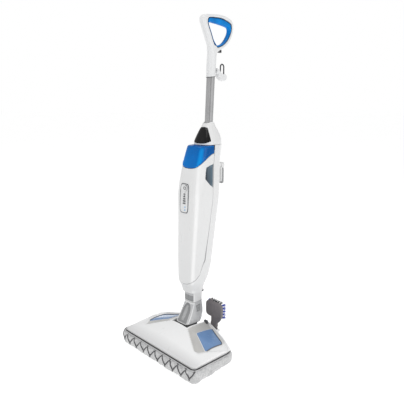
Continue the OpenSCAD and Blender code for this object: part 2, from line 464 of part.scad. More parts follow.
// turn-down cord hook, pivoting on a shouldered pin behind the handle neck
module hook_pin() color("silver") translate([0, 0, 978]) { ycyl(3, 150, 172); ycyl(8, 157.6, 162); ycyl(5, 171.3, 173.3); }
module cord_hook_upper() color("white") translate([0, 0, 978]) difference() {
    union() {
        ycyl(10, 162.4, 171);
        translate([-9, 0, 0]) yz(18) polygon(loop([[168, 10], [171, -8], [188, -22], [202, -26], [212, -20], [214, -8], [206, -3], [190, -3], [177, 8]], 4));
    }
    ycyl(3.05, 160, 180);
    ycyl(5.6, 171, 176);
}
module cord_loop() color("dimgray") {
    for (y = [190, 208]) translate([0, y, 972]) cylinder(r = 1.6, h = 21.2, $fn = 24);
    translate([0, 199, 993.2]) rotate([90, 0, 90]) rotate_extrude(angle = 180, $fn = 48) translate([9, 0]) circle(r = 1.6, $fn = 24);
}
module cord_gland() color("dimgray") translate([0, 0, 186]) difference() { union() { ycyl(9, 77, 82); ycyl(7, 82, 97); } ycyl(3.6, 80, 100); }

// ---------- scrubber ----------
module scrubber_paddle() color("dimgray") difference() {
    y0 = 79;
    union() {
        translate([(scr_x0 + scr_x1) / 2, y0, 0]) rotate([90, 0, 0]) translate([0, 0, -11]) linear_extrude(11)
            polygon([for (i = [0:35]) let (t = 10 * i, w = (scr_x1 - scr_x0) / 2) [w * ss(t, 5), 134 + 30 * sc(t, 5)]]);
        translate([(scr_x0 + scr_x1) / 2 - 15, y0 + 2, 70]) cube([30, 8, 44]);
        for (s = [-1, 1]) translate([(scr_x0 + scr_x1) / 2 + s * 10 - 5, rear(72) + 2, scr_z - 3]) cube([10, 9.6, 22]);
        translate([(scr_x0 + scr_x1) / 2 - 15, rear(72) + 6, scr_z]) xcyl(5.5, 0, 30);
        translate([scr_x0 + 6, y0 + 2, 162]) cube([20, 8, 8]);
    }
    translate([0, rear(72) + 6, scr_z]) xcyl(2.55, scr_x0, scr_x1);
    translate([(scr_x0 + scr_x1) / 2, y0, 0]) rotate([90, 0, 0]) translate([0, 0, -3]) linear_extrude(5)
        polygon([for (i = [0:35]) let (t = 10 * i, w = (scr_x1 - scr_x0) / 2 - 6) [w * ss(t, 5), 134 + 24 * sc(t, 5)]]);
}
module bristles_blue() color("royalblue") for (i = [0:8], k = [0:6]) if ((i == 0 || i == 8 || k == 0 || k == 6)) translate([scr_x0 + 6 + i * 8, 0, 110 + k * 8]) ycyl(2.2, 90, 103);
module bristles_dark() color("black") for (i = [1:7], k = [1:5]) translate([scr_x0 + 6 + i * 8, 0, 110 + k * 8]) ycyl(2.2, 90, 101);
module scrubber_catch() color("black") translate([38, 64, 75]) cube([16, 8, 11.5]);

foot_cover();
foot_base();
window_trays();
windows();
edge_gasket();
steam_manifold();
steam_jets();
foot_screws();
grip_strips();
scrubber_pin();
scrubber_lugs();
scrubber_catch();
mop_pad();
pad_binding();
pad_lace();
swivel_block();
swivel_clip();
tilt_pin();
neck_frame();
yoke_shell();
neck_sleeve();
neck_insert();
front_cover();
rear_housing();
top_housing();
name_plate();
control_bezel();
power_button();
button_spring();
indicator_lenses();
grip_liners();
cord_hook_lower();
hook_tip();
housing_screws();
boiler();
boiler_clamps();
thermostat();
pump();
pump_mounts();
pump_hoses();
steam_hose();
control_board();
chassis();
dock_seal();
water_tank();
tank_cap();
tank_valve();
handle_tube();
handle_left();
handle_right();
grip_insert();
handle_screws();
cord_hook_upper();
hook_pin();
cord_loop();
cord_clip();
cord_gland();
scrubber_paddle();
bristles_blue();
bristles_dark();
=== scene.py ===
import json
import math
import random

import bpy
import bmesh
import numpy as np
from mathutils import Matrix, Vector, noise
from mathutils.bvhtree import BVHTree


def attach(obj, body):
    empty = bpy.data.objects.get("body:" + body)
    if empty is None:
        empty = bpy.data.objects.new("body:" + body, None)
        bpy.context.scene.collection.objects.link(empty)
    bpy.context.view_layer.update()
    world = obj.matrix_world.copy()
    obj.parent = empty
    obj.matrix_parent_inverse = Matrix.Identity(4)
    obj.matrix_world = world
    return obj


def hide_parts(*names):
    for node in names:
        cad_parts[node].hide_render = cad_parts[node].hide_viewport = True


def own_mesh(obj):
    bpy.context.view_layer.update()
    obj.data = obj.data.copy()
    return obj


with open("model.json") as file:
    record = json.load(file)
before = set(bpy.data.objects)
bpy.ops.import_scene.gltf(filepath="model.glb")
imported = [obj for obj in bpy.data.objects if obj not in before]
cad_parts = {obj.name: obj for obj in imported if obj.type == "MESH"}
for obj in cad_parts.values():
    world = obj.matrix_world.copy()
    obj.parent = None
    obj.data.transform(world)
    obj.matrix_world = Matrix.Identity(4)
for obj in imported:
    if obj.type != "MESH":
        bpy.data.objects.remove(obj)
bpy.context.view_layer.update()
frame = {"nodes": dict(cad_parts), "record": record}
NODES = frame["nodes"]
rnd = random.Random(11)
scene = bpy.context.scene


# ------------------------------------------------------------------ camera
def make_camera():
    a, p = math.radians(42.8), math.radians(13.5)
    r = Vector((math.cos(a), math.sin(a), 0))
    d = Vector((-math.sin(a) * math.cos(p), math.cos(a) * math.cos(p), -math.sin(p)))
    loc = Vector((0, 0, 0.543)) + r * 0.065 - d * 1.362
    cam = bpy.data.cameras.new("camera")
    ob = bpy.data.objects.new("camera", cam)
    scene.collection.objects.link(ob)
    ob.location = loc
    ob.rotation_mode = "QUATERNION"
    ob.rotation_quaternion = d.to_track_quat("-Z", "Y")
    cam.sensor_width = 36.0
    cam.lens = 36.0 * 400.0 / 404.0
    cam.clip_start, cam.clip_end = 0.05, 200
    scene.camera = ob


make_camera()


# ------------------------------------------------------------------ numbers
class Curve:
    """Smooth monotone curve through points."""

    def __init__(self, pts):
        self.x = [float(p[0]) for p in pts]
        self.y = [float(p[1]) for p in pts]
        n = len(pts)
        h = [self.x[i + 1] - self.x[i] for i in range(n - 1)]
        s = [(self.y[i + 1] - self.y[i]) / h[i] for i in range(n - 1)]
        m = [s[0]] + [0.0] * (n - 2) + [s[-1]]
        for i in range(1, n - 1):
            if s[i - 1] * s[i] > 0:
                w1, w2 = 2 * h[i] + h[i - 1], h[i] + 2 * h[i - 1]
                m[i] = (w1 + w2) / (w1 / s[i - 1] + w2 / s[i])
        self.h, self.m = h, m

    def __call__(self, v):
        x, y = self.x, self.y
        if v <= x[0]:
            return y[0]
        if v >= x[-1]:
            return y[-1]
        lo, hi = 0, len(x) - 1
        while hi - lo > 1:
            mid = (lo + hi) // 2
            if x[mid] <= v:
                lo = mid
            else:
                hi = mid
        h = self.h[lo]
        t = (v - x[lo]) / h
        return ((1 + 2 * t) * (1 - t) ** 2 * y[lo] + t * (1 - t) ** 2 * h * self.m[lo]
                + t * t * (3 - 2 * t) * y[lo + 1] + t * t * (t - 1) * h * self.m[lo + 1])


def lin(v, pts):
    if v <= pts[0][0]:
        return pts[0][1]
    for a, b in zip(pts, pts[1:]):
        if v <= b[0]:
            return a[1] + (b[1] - a[1]) * (v - a[0]) / (b[0] - a[0])
    return pts[-1][1]


def mix(a, b, s):
    return a + (b - a) * s


def cl(v, a=0.0, b=1.0):
    return min(max(v, a), b)


def smooth(t):
    t = cl(t)
    return t * t * (3 - 2 * t)


def ss(t, n):
    v = math.sin(math.radians(t))
    return 0.0 if abs(v) < 1e-9 else math.copysign(abs(v) ** (2 / n), v)


def sc(t, n):
    v = math.cos(math.radians(t))
    return 0.0 if abs(v) < 1e-9 else math.copysign(abs(v) ** (2 / n), v)


def catmull(P, k, closed=True):
    out, n = [], len(P)
    for i in range(n if closed else n - 1):
        a, b, c, d = (P[(i + q) % n] if closed else P[min(max(i + q, 0), n - 1)] for q in (-1, 0, 1, 2))
        for j in range(k):
            s = j / k
            out.append(tuple(0.5 * (2 * b[m] + (c[m] - a[m]) * s + (2 * a[m] - 5 * b[m] + 4 * c[m] - d[m]) * s * s
                                    + (3 * b[m] - a[m] - 3 * c[m] + d[m]) * s ** 3) for m in range(len(b))))
    if not closed:
        out.append(tuple(P[-1]))
    return out


# ------------------------------------------------------------------ materials
def links(mat):
    mat.use_nodes = True
    nt = mat.node_tree
    nt.nodes.clear()
    out = nt.nodes.new("ShaderNodeOutputMaterial")
    bs = nt.nodes.new("ShaderNodeBsdfPrincipled")
    nt.links.new(bs.outputs[0], out.inputs[0])
    return nt, bs


def add(nt, kind, **kw):
    n = nt.nodes.new(kind)
    for k, v in kw.items():
        setattr(n, k, v)
    return n


def noise_tex(nt, scale, detail=3, rough=0.5, coord="Object", stretch=None, kind="ShaderNodeTexNoise"):
    tc = add(nt, "ShaderNodeTexCoord")
    src = tc.outputs[coord]
    if stretch:
        mp = add(nt, "ShaderNodeMapping")
        mp.inputs["Scale"].default_value = stretch
        nt.links.new(src, mp.inputs[0])
        src = mp.outputs[0]
    t = add(nt, kind)
    t.inputs["Scale"].default_value = scale
    if kind == "ShaderNodeTexNoise":
        t.inputs["Detail"].default_value = detail
        t.inputs["Roughness"].default_value = rough
    nt.links.new(src, t.inputs["Vector"])
    return t


def ramp(nt, src, stops):
    r = add(nt, "ShaderNodeValToRGB")
    els = r.color_ramp.elements
    while len(els) < len(stops):
        els.new(0.5)
    for e, (pos, col) in zip(els, stops):
        e.position = pos
        e.color = (*col, 1) if len(col) == 3 else col
    nt.links.new(src, r.inputs[0])
    return r.outputs[0]


def maprange(nt, src, a, b, lo, hi):
    m = add(nt, "ShaderNodeMapRange")
    m.inputs[1].default_value, m.inputs[2].default_value = a, b
    m.inputs[3].default_value, m.inputs[4].default_value = lo, hi
    nt.links.new(src, m.inputs[0])
    return m.outputs[0]


def mixcol(nt, fac, a, b, blend="MIX"):
    m = add(nt, "ShaderNodeMix", data_type="RGBA", blend_type=blend)
    for sock, v in ((m.inputs[0], fac), (m.inputs[6], a), (m.inputs[7], b)):
        if hasattr(v, "links") or isinstance(v, bpy.types.NodeSocket):
            nt.links.new(v, sock)
        elif isinstance(v, (int, float)):
            sock.default_value = v
        else:
            sock.default_value = (*v, 1)
    return m.outputs[2]


def bump(nt, bs, src, dist, strength=1.0, prev=None):
    b = add(nt, "ShaderNodeBump")
    b.inputs["Strength"].default_value = strength
    b.inputs["Distance"].default_value = dist
    nt.links.new(src, b.inputs["Height"])
    if prev:
        nt.links.new(prev, b.inputs["Normal"])
    nt.links.new(b.outputs[0], bs.inputs["Normal"])
    return b.outputs[0]


def plastic(name, col, dark, rough=(0.28, 0.4), grain=1500, depth=0.00004, coat=0.0, wear=0.35, ior=1.46, broad=9, corner=0.0):
    """Moulded plastic: slow colour drift, fine grain, rub marks, lighter worn edges and, if corner is set, a painted
    highlight on the long upright corners.
    """
    mat = bpy.data.materials.new(name)
    nt, bs = links(mat)
    drift = noise_tex(nt, broad, 2, 0.4).outputs[0]
    c = ramp(nt, drift, [(0.25, dark), (0.75, col)])
    g = add(nt, "ShaderNodeNewGeometry")
    edge = maprange(nt, g.outputs["Pointiness"], 0.56, 0.68, 0, wear)
    lift = tuple(min(1, v * 1.12 + 0.03) for v in col)
    c = mixcol(nt, edge, c, lift)
    if corner:
        # painted highlight along the long upright corners
        tc = add(nt, "ShaderNodeTexCoord")
        ab = add(nt, "ShaderNodeVectorMath", operation="ABSOLUTE")
        dot = add(nt, "ShaderNodeVectorMath", operation="DOT_PRODUCT")
        nt.links.new(tc.outputs["Normal"], ab.inputs[0])
        nt.links.new(ab.outputs[0], dot.inputs[0])
        dot.inputs[1].default_value = (0.72, 0.69, 0.0)
        c = mixcol(nt, maprange(nt, dot.outputs["Value"], 0.93, 0.995, 0, corner), c, (0.9, 0.9, 0.9))
    rub = noise_tex(nt, 60, 5, 0.65, stretch=(1, 1, 0.35)).outputs[0]
    r = maprange(nt, rub, 0.3, 0.75, rough[0], rough[1])
    nt.links.new(c, bs.inputs["Base Color"])
    nt.links.new(r, bs.inputs["Roughness"])
    bs.inputs["IOR"].default_value = ior
    if coat:
        bs.inputs["Coat Weight"].default_value = coat
        bs.inputs["Coat Roughness"].default_value = 0.08
    b1 = bump(nt, bs, noise_tex(nt, grain, 2, 0.5).outputs[0], depth, 0.5)
    bump(nt, bs, noise_tex(nt, 14, 1, 0.4).outputs[0], 0.0001, 0.12, b1)
    return mat


def metal(name, col, rough=(0.22, 0.38), stretch=(1, 1, 0.03), grain=900, wear=0.0, aniso=0.0, metallic=1.0, depth=0.00003):
    mat = bpy.data.materials.new(name)
    nt, bs = links(mat)
    lines = noise_tex(nt, grain, 3, 0.6, stretch=stretch).outputs[0]
    c = ramp(nt, noise_tex(nt, 14, 4).outputs[0], [(0.3, tuple(v * 0.86 for v in col)), (0.7, col)])
    c = mixcol(nt, maprange(nt, lines, 0.35, 0.65, 0, 0.22), c, tuple(v * 0.72 for v in col))
    nt.links.new(c, bs.inputs["Base Color"])
    nt.links.new(maprange(nt, lines, 0.3, 0.7, rough[0], rough[1]), bs.inputs["Roughness"])
    bs.inputs["Metallic"].default_value = metallic
    if aniso:
        bs.inputs["Anisotropic"].default_value = aniso
    bump(nt, bs, lines, depth, 0.5)
    return mat


def clear_blue(name, col, deep, rough=0.12, trans=0.35, grade=None, coat=0.6, ior=1.46, band=None):
    """Tinted clear moulding, deeper towards its upper or lower part, with slow drift in the tint; band paints a
    highlight where the wall turns the corner and shade on the flanks.
    """
    mat = bpy.data.materials.new(name)
    nt, bs = links(mat)
    drift = noise_tex(nt, 18, 3).outputs[0]
    c = mixcol(nt, maprange(nt, drift, 0.3, 0.75, 0, 0.35), col, deep)
    g = add(nt, "ShaderNodeNewGeometry")
    c = mixcol(nt, maprange(nt, g.outputs["Pointiness"], 0.53, 0.62, 0, 0.35), c, tuple(min(1, v * 1.5 + 0.05) for v in col))
    if grade:
        tc = add(nt, "ShaderNodeTexCoord")
        sep = add(nt, "ShaderNodeSeparateXYZ")
        nt.links.new(tc.outputs["Object"], sep.inputs[0])
        c = mixcol(nt, maprange(nt, sep.outputs[2], grade[0], grade[1], 0, grade[2]), c, deep)
    if band:
        # painted highlight where the wall turns the corner, painted shade on the flanks
        tc = add(nt, "ShaderNodeTexCoord")
        dot = add(nt, "ShaderNodeVectorMath", operation="DOT_PRODUCT")
        ab = add(nt, "ShaderNodeVectorMath", operation="ABSOLUTE")
        nt.links.new(tc.outputs["Normal"], ab.inputs[0])
        nt.links.new(ab.outputs[0], dot.inputs[0])
        dot.inputs[1].default_value = (0.66, 0.75, 0.0)
        sx = add(nt, "ShaderNodeSeparateXYZ")
        nt.links.new(ab.outputs[0], sx.inputs[0])
        c = mixcol(nt, maprange(nt, sx.outputs[0], 0.88, 0.99, 0, 0.65), c, deep)
        c = mixcol(nt, maprange(nt, dot.outputs["Value"], 0.90, 0.99, 0, 0.8), c, band)
    nt.links.new(c, bs.inputs["Base Color"])
    nt.links.new(maprange(nt, noise_tex(nt, 70, 4, 0.6).outputs[0], 0.3, 0.7, rough * 0.7, rough * 1.5), bs.inputs["Roughness"])
    bs.inputs["Transmission Weight"].default_value = trans
    bs.inputs["IOR"].default_value = ior
    bs.inputs["Coat Weight"].default_value = coat
    bs.inputs["Coat Roughness"].default_value = 0.06
    bump(nt, bs, noise_tex(nt, 30, 2).outputs[0], 0.0002, 0.2)
    return mat


def rubber(name, col, dark, rough=(0.45, 0.62), ior=1.45, sheen=0.04):
    mat = bpy.data.materials.new(name)
    nt, bs = links(mat)
    c = ramp(nt, noise_tex(nt, 30, 5, 0.6).outputs[0], [(0.3, dark), (0.7, col)])
    g = add(nt, "ShaderNodeNewGeometry")
    c = mixcol(nt, maprange(nt, g.outputs["Pointiness"], 0.52, 0.64, 0, 0.45), c, tuple(min(1, v * 1.5 + 0.02) for v in col))
    nt.links.new(c, bs.inputs["Base Color"])
    nt.links.new(maprange(nt, noise_tex(nt, 90, 4).outputs[0], 0.3, 0.7, rough[0], rough[1]), bs.inputs["Roughness"])
    bs.inputs["Sheen Weight"].default_value = sheen
    bs.inputs["IOR"].default_value = ior
    b = bump(nt, bs, noise_tex(nt, 1600, 2).outputs[0], 0.00006, 0.6)
    return mat


def terry(name, col, dark):
    """Looped microfibre: crowded loops, soft clumps and a faint nap."""
    mat = bpy.data.materials.new(name)
    nt, bs = links(mat)
    clump = noise_tex(nt, 120, 5, 0.7).outputs[0]
    broad = noise_tex(nt, 22, 3, 0.6).outputs[0]
    c = ramp(nt, clump, [(0.32, dark), (0.62, col)])
    c = mixcol(nt, maprange(nt, broad, 0.35, 0.7, 0, 0.35), c, tuple(v * 0.82 for v in col))
    loops = noise_tex(nt, 430, 2, kind="ShaderNodeTexVoronoi").outputs[0]
    c = mixcol(nt, maprange(nt, loops, 0.25, 0.75, 0, 0.35), c, tuple(v * 0.66 for v in dark))
    nt.links.new(c, bs.inputs["Base Color"])
    bs.inputs["Roughness"].default_value = 0.95
    bs.inputs["Sheen Weight"].default_value = 0.4
    bs.inputs["Sheen Roughness"].default_value = 0.5
    b1 = bump(nt, bs, loops, -0.0011, 0.9)
    b2 = bump(nt, bs, clump, 0.0022, 0.8, b1)
    bump(nt, bs, noise_tex(nt, 45, 3, 0.6).outputs[0], 0.004, 0.5, b2)
    return mat


def braid(name, col, dark, scale=900):
    mat = bpy.data.materials.new(name)
    nt, bs = links(mat)
    tc = add(nt, "ShaderNodeTexCoord")
    w = add(nt, "ShaderNodeTexWave", wave_type="BANDS", bands_direction="DIAGONAL")
    w.inputs["Scale"].default_value = scale
    w.inputs["Distortion"].default_value = 1.5
    nt.links.new(tc.outputs["Object"], w.inputs["Vector"])
    c = ramp(nt, w.outputs["Fac"], [(0.25, dark), (0.75, col)])
    c = mixcol(nt, maprange(nt, noise_tex(nt, 60, 4).outputs[0], 0.3, 0.7, 0, 0.4), c, dark)
    nt.links.new(c, bs.inputs["Base Color"])
    nt.links.new(maprange(nt, noise_tex(nt, 200, 3).outputs[0], 0.3, 0.7, 0.72, 0.95), bs.inputs["Roughness"])
    bump(nt, bs, w.outputs["Fac"], 0.0003, 0.7)
    return mat


# the white shell paints a highlight along its upright corners (corner=0.75)
WHITE = plastic("white_shell", (0.735, 0.737, 0.737), (0.705, 0.708, 0.71), rough=(0.26, 0.36), coat=0.1, wear=0.12, broad=5, corner=0.75)
WHITE_HANDLE = plastic("white_handle", (0.745, 0.75, 0.755), (0.70, 0.706, 0.715), rough=(0.3, 0.42), wear=0.15)
RECESS = plastic("recess_grey", (0.62, 0.6, 0.57), (0.55, 0.535, 0.51), rough=(0.4, 0.55), wear=0.1)
# copies of one grey bell plastic: bell_mid and bell_shade paint shade, the paler copy paints highlight
BELL = plastic("bell_grey", (0.56, 0.565, 0.57), (0.49, 0.495, 0.505), rough=(0.2, 0.32), coat=0.35, wear=0.2)
BELL_MID = plastic("bell_mid", (0.46, 0.465, 0.47), (0.38, 0.385, 0.39), rough=(0.22, 0.32), coat=0.3, wear=0.2)
BELL_DK = plastic("bell_shade", (0.31, 0.315, 0.32), (0.24, 0.245, 0.25), rough=(0.24, 0.36), coat=0.3, wear=0.2)
BELL_HIGHLIGHT = plastic("bell_painted_highlight", (0.80, 0.80, 0.80), (0.74, 0.745, 0.75), rough=(0.2, 0.3), coat=0.3, wear=0.1)
WELL = plastic("well_grey", (0.72, 0.72, 0.72), (0.64, 0.64, 0.645), rough=(0.4, 0.55), wear=0.1)
LIP = plastic("lip_grey", (0.58, 0.58, 0.585), (0.5, 0.5, 0.505), rough=(0.5, 0.65), wear=0.1)
GREY = plastic("grey_trim", (0.42, 0.43, 0.44), (0.35, 0.36, 0.37), rough=(0.34, 0.5))
SATIN = plastic("badge_satin", (0.60, 0.60, 0.61), (0.54, 0.545, 0.55), rough=(0.3, 0.42), grain=2200)
BADGE = plastic("badge_silver", (0.74, 0.745, 0.75), (0.68, 0.685, 0.69), rough=(0.3, 0.42), grain=2200)
LINE = plastic("dark_line", (0.14, 0.145, 0.15), (0.09, 0.09, 0.1), rough=(0.42, 0.6))
def liner_mat():
    """Dark slate pocket that pales towards its rear edge."""
    mat = bpy.data.materials.new("recess_slate")
    nt, bs = links(mat)
    c = ramp(nt, noise_tex(nt, 20, 3).outputs[0], [(0.3, (0.008, 0.02, 0.034)), (0.7, (0.018, 0.036, 0.055))])
    tc = add(nt, "ShaderNodeTexCoord")
    sep = add(nt, "ShaderNodeSeparateXYZ")
    nt.links.new(tc.outputs["Object"], sep.inputs[0])
    c = mixcol(nt, maprange(nt, sep.outputs[1], 0.071, 0.093, 0, 0.85), c, (0.14, 0.21, 0.27))
    nt.links.new(c, bs.inputs["Base Color"])
    nt.links.new(maprange(nt, noise_tex(nt, 60, 4).outputs[0], 0.3, 0.7, 0.3, 0.5), bs.inputs["Roughness"])
    bump(nt, bs, noise_tex(nt, 1500, 2).outputs[0], 0.00004, 0.5)
    return mat


LINER = liner_mat()
DARK = plastic("dark_plastic", (0.085, 0.088, 0.095), (0.05, 0.052, 0.056), rough=(0.4, 0.58), depth=0.00008)
PADDLE = plastic("paddle_grey", (0.205, 0.19, 0.195), (0.16, 0.148, 0.155), rough=(0.42, 0.6), depth=0.0001)
GLOSS = plastic("black_gloss", (0.010, 0.010, 0.011), (0.005, 0.005, 0.006), rough=(0.12, 0.2), coat=0.0, wear=0.05, depth=0.00001, ior=1.32)
# band: colour of a painted highlight down the tank's turned corner; its flanks get painted shade
TANK = clear_blue("tank_blue", (0.0, 0.155, 0.52), (0.0, 0.058, 0.235), rough=0.2, trans=0.0, grade=(0.69, 0.735, 0.4), coat=0.0, ior=1.26, band=(0.005, 0.34, 0.86))
CAPBLUE = plastic("cap_blue", (0.001, 0.13, 0.47), (0.001, 0.09, 0.35), rough=(0.25, 0.38), ior=1.3)
WINDOW = clear_blue("window_blue", (0.17, 0.30, 0.54), (0.11, 0.22, 0.44), rough=0.2, trans=0.0, coat=0.45, ior=1.45)
LENS = clear_blue("lens_blue", (0.25, 0.5, 0.8), (0.1, 0.3, 0.6), rough=0.1, trans=0.2)
GRIP = rubber("grip_blue", (0.0, 0.245, 0.70), (0.0, 0.15, 0.47), ior=1.25, sheen=0.0)
NAVY = plastic("seam_navy", (0.004, 0.03, 0.075), (0.002, 0.02, 0.05), rough=(0.4, 0.55), ior=1.3, wear=0.05)
RUBBER = rubber("black_rubber", (0.035, 0.035, 0.037), (0.018, 0.018, 0.02), rough=(0.6, 0.8))
HOSE = rubber("hose_silicone", (0.62, 0.62, 0.6), (0.5, 0.5, 0.48), rough=(0.3, 0.45))
TUBE = metal("tube_satin", (0.40, 0.40, 0.405), rough=(0.36, 0.46), stretch=(1, 1, 0.02), metallic=0.3, depth=0.00001)
# darker copy of the tube finish for the groove faces: painted shade in the grooves
TUBE_GROOVE_SHADE = metal("tube_groove_painted_shade", (0.31, 0.31, 0.315), rough=(0.4, 0.5), stretch=(1, 1, 0.02), metallic=0.3, depth=0.00001)
STEEL = metal("steel_brushed", (0.62, 0.63, 0.65))
ALU = metal("aluminium_cast", (0.66, 0.67, 0.69), rough=(0.35, 0.55), stretch=(1, 1, 1), grain=500)
BRASS = metal("brass_turned", (0.72, 0.53, 0.22), stretch=(0.1, 0.1, 1))
BOARD = plastic("board_green", (0.03, 0.16, 0.07), (0.02, 0.11, 0.05), rough=(0.3, 0.5))
PAD = terry("pad_terry", (0.76, 0.76, 0.76), (0.50, 0.505, 0.51))
LACE = braid("lace_braid", (0.13, 0.13, 0.135), (0.045, 0.045, 0.05))
BIND = braid("binding_tape", (0.62, 0.62, 0.625), (0.44, 0.44, 0.445), scale=500)
NYLON_BLUE = rubber("nylon_blue", (0.02, 0.055, 0.42), (0.01, 0.03, 0.26), rough=(0.3, 0.45))
NYLON_DARK = rubber("nylon_dark", (0.03, 0.03, 0.035), (0.012, 0.012, 0.014), rough=(0.35, 0.5))

def plastic_with_painted_shade(name, base, painted_shade_col, attr):
    """A moulding in one plastic with painted shade on its pocket walls, set by a weight stored on the mesh, and painted
    shade along its front edge.
    """
    mat = bpy.data.materials.new(name)
    nt, bs = links(mat)
    c1 = ramp(nt, noise_tex(nt, 5, 2, 0.4).outputs[0], [(0.25, base[1]), (0.75, base[0])])
    c2 = ramp(nt, noise_tex(nt, 12, 3, 0.5).outputs[0], [(0.3, painted_shade_col[1]), (0.7, painted_shade_col[0])])
    a = add(nt, "ShaderNodeAttribute", attribute_name=attr)
    # painted shade: a little darker towards the front edge, where the cover rolls over
    tc = add(nt, "ShaderNodeTexCoord")
    sep = add(nt, "ShaderNodeSeparateXYZ")
    nt.links.new(tc.outputs["Object"], sep.inputs[0])
    c1 = mixcol(nt, maprange(nt, sep.outputs[1], -0.134, -0.092, 0.5, 0.0), c1, (0.5, 0.5, 0.505))
    c = mixcol(nt, a.outputs["Fac"], c1, c2)
    nt.links.new(c, bs.inputs["Base Color"])
    nt.links.new(maprange(nt, noise_tex(nt, 60, 5, 0.65, stretch=(1, 0.35, 1)).outputs[0], 0.3, 0.75, 0.26, 0.38), bs.inputs["Roughness"])
    bs.inputs["Coat Weight"].default_value = 0.1
    bs.inputs["Coat Roughness"].default_value = 0.08
    bump(nt, bs, noise_tex(nt, 1500, 2, 0.5).outputs[0], 0.00004, 0.5)
    return mat


# foot cover plastic: painted shade on the pocket walls and towards the front edge
FOOT = plastic_with_painted_shade("foot_plastic", ((0.92, 0.922, 0.922), (0.895, 0.898, 0.90)), ((0.60, 0.59, 0.565), (0.49, 0.49, 0.485)), "painted_pocket_shade")

BY_SLOT = {
    "white_shell": WHITE, "grey_plastic": GREY, "dark_plastic": DARK, "black_gloss": GLOSS, "tank_blue": TANK,
    "window_blue": WINDOW, "lens_blue": LENS, "grip_rubber": GRIP, "black_rubber": RUBBER, "tube_grey": TUBE,
    "steel": STEEL, "aluminium": ALU, "brass": BRASS, "pad_fabric": PAD, "lace_fabric": LACE, "board_green": BOARD,
    "hose_silicone": HOSE, "bristle_blue": NYLON_BLUE, "bristle_dark": NYLON_DARK,
}
SLOT_OF = {s["node"]: s["material_slot"] for s in frame["record"]["subparts"]}
BODY_OF = {n: b for b, ns in frame["record"]["behaviour"]["bodies"].items() for n in ns}


# ------------------------------------------------------------------ mesh tools
def sharpen(bm, deg=32):
    lim = math.radians(deg)
    for e in bm.edges:
        e.smooth = not (len(e.link_faces) == 2 and e.calc_face_angle(0) > lim)
    for f in bm.faces:
        f.smooth = True


def obj_from(name, verts, faces, mats, fmat=None, scale=0.001, clean=True):
    me = bpy.data.meshes.new(name)
    me.from_pydata([(v[0] * scale, v[1] * scale, v[2] * scale) for v in verts], [], faces)
    me.validate()
    ob = bpy.data.objects.new(name, me)
    scene.collection.objects.link(ob)
    for m in (mats if isinstance(mats, (list, tuple)) else [mats]):
        me.materials.append(m)
    if fmat is not None:
        for p, k in zip(me.polygons, fmat):
            p.material_index = k
    bm = bmesh.new()
    bm.from_mesh(me)
    if clean:
        bmesh.ops.remove_doubles(bm, verts=bm.verts, dist=1e-6)
    sharpen(bm)
    bm.to_mesh(me)
    bm.free()
    return ob


def bake(ob, deg=32, outward=True):
    """Applies the object's modifiers."""
    dg = bpy.context.evaluated_depsgraph_get()
    me = bpy.data.meshes.new_from_object(ob.evaluated_get(dg), depsgraph=dg)
    ob.modifiers.clear()
    old = ob.data
    ob.data = me
    me.name = ob.name
    bpy.data.meshes.remove(old)
    bm = bmesh.new()
    bm.from_mesh(me)
    if outward:
        bmesh.ops.recalc_face_normals(bm, faces=bm.faces)
    sharpen(bm, deg)
    bm.to_mesh(me)
    bm.free()
    return ob


def mod(ob, kind, **kw):
    m = ob.modifiers.new(kind.lower(), kind)
    for k, v in kw.items():
        setattr(m, k, v)
    return m


def grid(S, nu, nv, keep=None, wrap=False):
    """Points and faces of a surface S(i, j) on whole numbers."""
    M = nv if wrap else nv + 1
    V = [S(i, j) for i in range(nu + 1) for j in range(M)]
    F, K = [], []
    for i in range(nu):
        for j in range(nv):
            if keep and not keep(i, j):
                continue
            a, b = i * M + j, i * M + (j + 1) % M
            F.append((a, b, b + M, a + M))
            K.append((i, j))
    return V, F, K


def outward(ob, inside):
    """Turns the faces so that they look away from a point inside (or a function giving it)."""
    me = ob.data
    bm = bmesh.new()
    bm.from_mesh(me)
    bmesh.ops.recalc_face_normals(bm, faces=bm.faces)
    tot = 0
    for f in bm.faces:
        c = f.calc_center_median()
        p = inside(c) if callable(inside) else Vector(inside)
        tot += f.normal.dot(c - p) * f.calc_area()
    if tot < 0:
        bmesh.ops.reverse_faces(bm, faces=bm.faces)
    bm.to_mesh(me)
    bm.free()


def shell(name, S, nu, nv, mats, t=2.6, keep=None, wrap=False, rim=0.5, inside=None, pick=None, segs=2, deg=30, lim=50):
    V, F, K = grid(S, nu, nv, keep, wrap)
    ob = obj_from(name, V, F, mats, [pick(*k) for k in K] if pick else None)
    outward(ob, inside)
    mod(ob, "SOLIDIFY", thickness=t * 0.001, offset=-1.0, use_even_offset=False, use_rim=True)
    if rim:
        mod(ob, "BEVEL", width=rim * 0.001, segments=segs, limit_method="ANGLE", angle_limit=math.radians(lim))
    return bake(ob, deg, outward=False)


def prism(name, outline, to3d, h, mats, rim=0.8, segs=3, deg=30, holes=()):
    """A plate: a closed outline in its plane, given thickness h, with rounded edges. to3d maps (a, b, c)."""
    bm = bmesh.new()
    n = len(outline)
    lo = [bm.verts.new(Vector(to3d(p[0], p[1], 0)) * 0.001) for p in outline]
    hi = [bm.verts.new(Vector(to3d(p[0], p[1], h)) * 0.001) for p in outline]
    bm.faces.new(lo[::-1])
    bm.faces.new(hi)
    for i in range(n):
        bm.faces.new((lo[i], lo[(i + 1) % n], hi[(i + 1) % n], hi[i]))
    bmesh.ops.recalc_face_normals(bm, faces=bm.faces)
    me = bpy.data.meshes.new(name)
    bm.to_mesh(me)
    bm.free()
    ob = bpy.data.objects.new(name, me)
    scene.collection.objects.link(ob)
    for m in (mats if isinstance(mats, (list, tuple)) else [mats]):
        me.materials.append(m)
    if rim:
        mod(ob, "BEVEL", width=rim * 0.001, segments=segs, limit_method="ANGLE", angle_limit=math.radians(50))
    return bake(ob, deg)


def superloop(w, h, n, k=48, cx=0.0, cy=0.0):
    return [(cx + w * ss(360 * i / k, n), cy + h * sc(360 * i / k, n)) for i in range(k)][::-1]


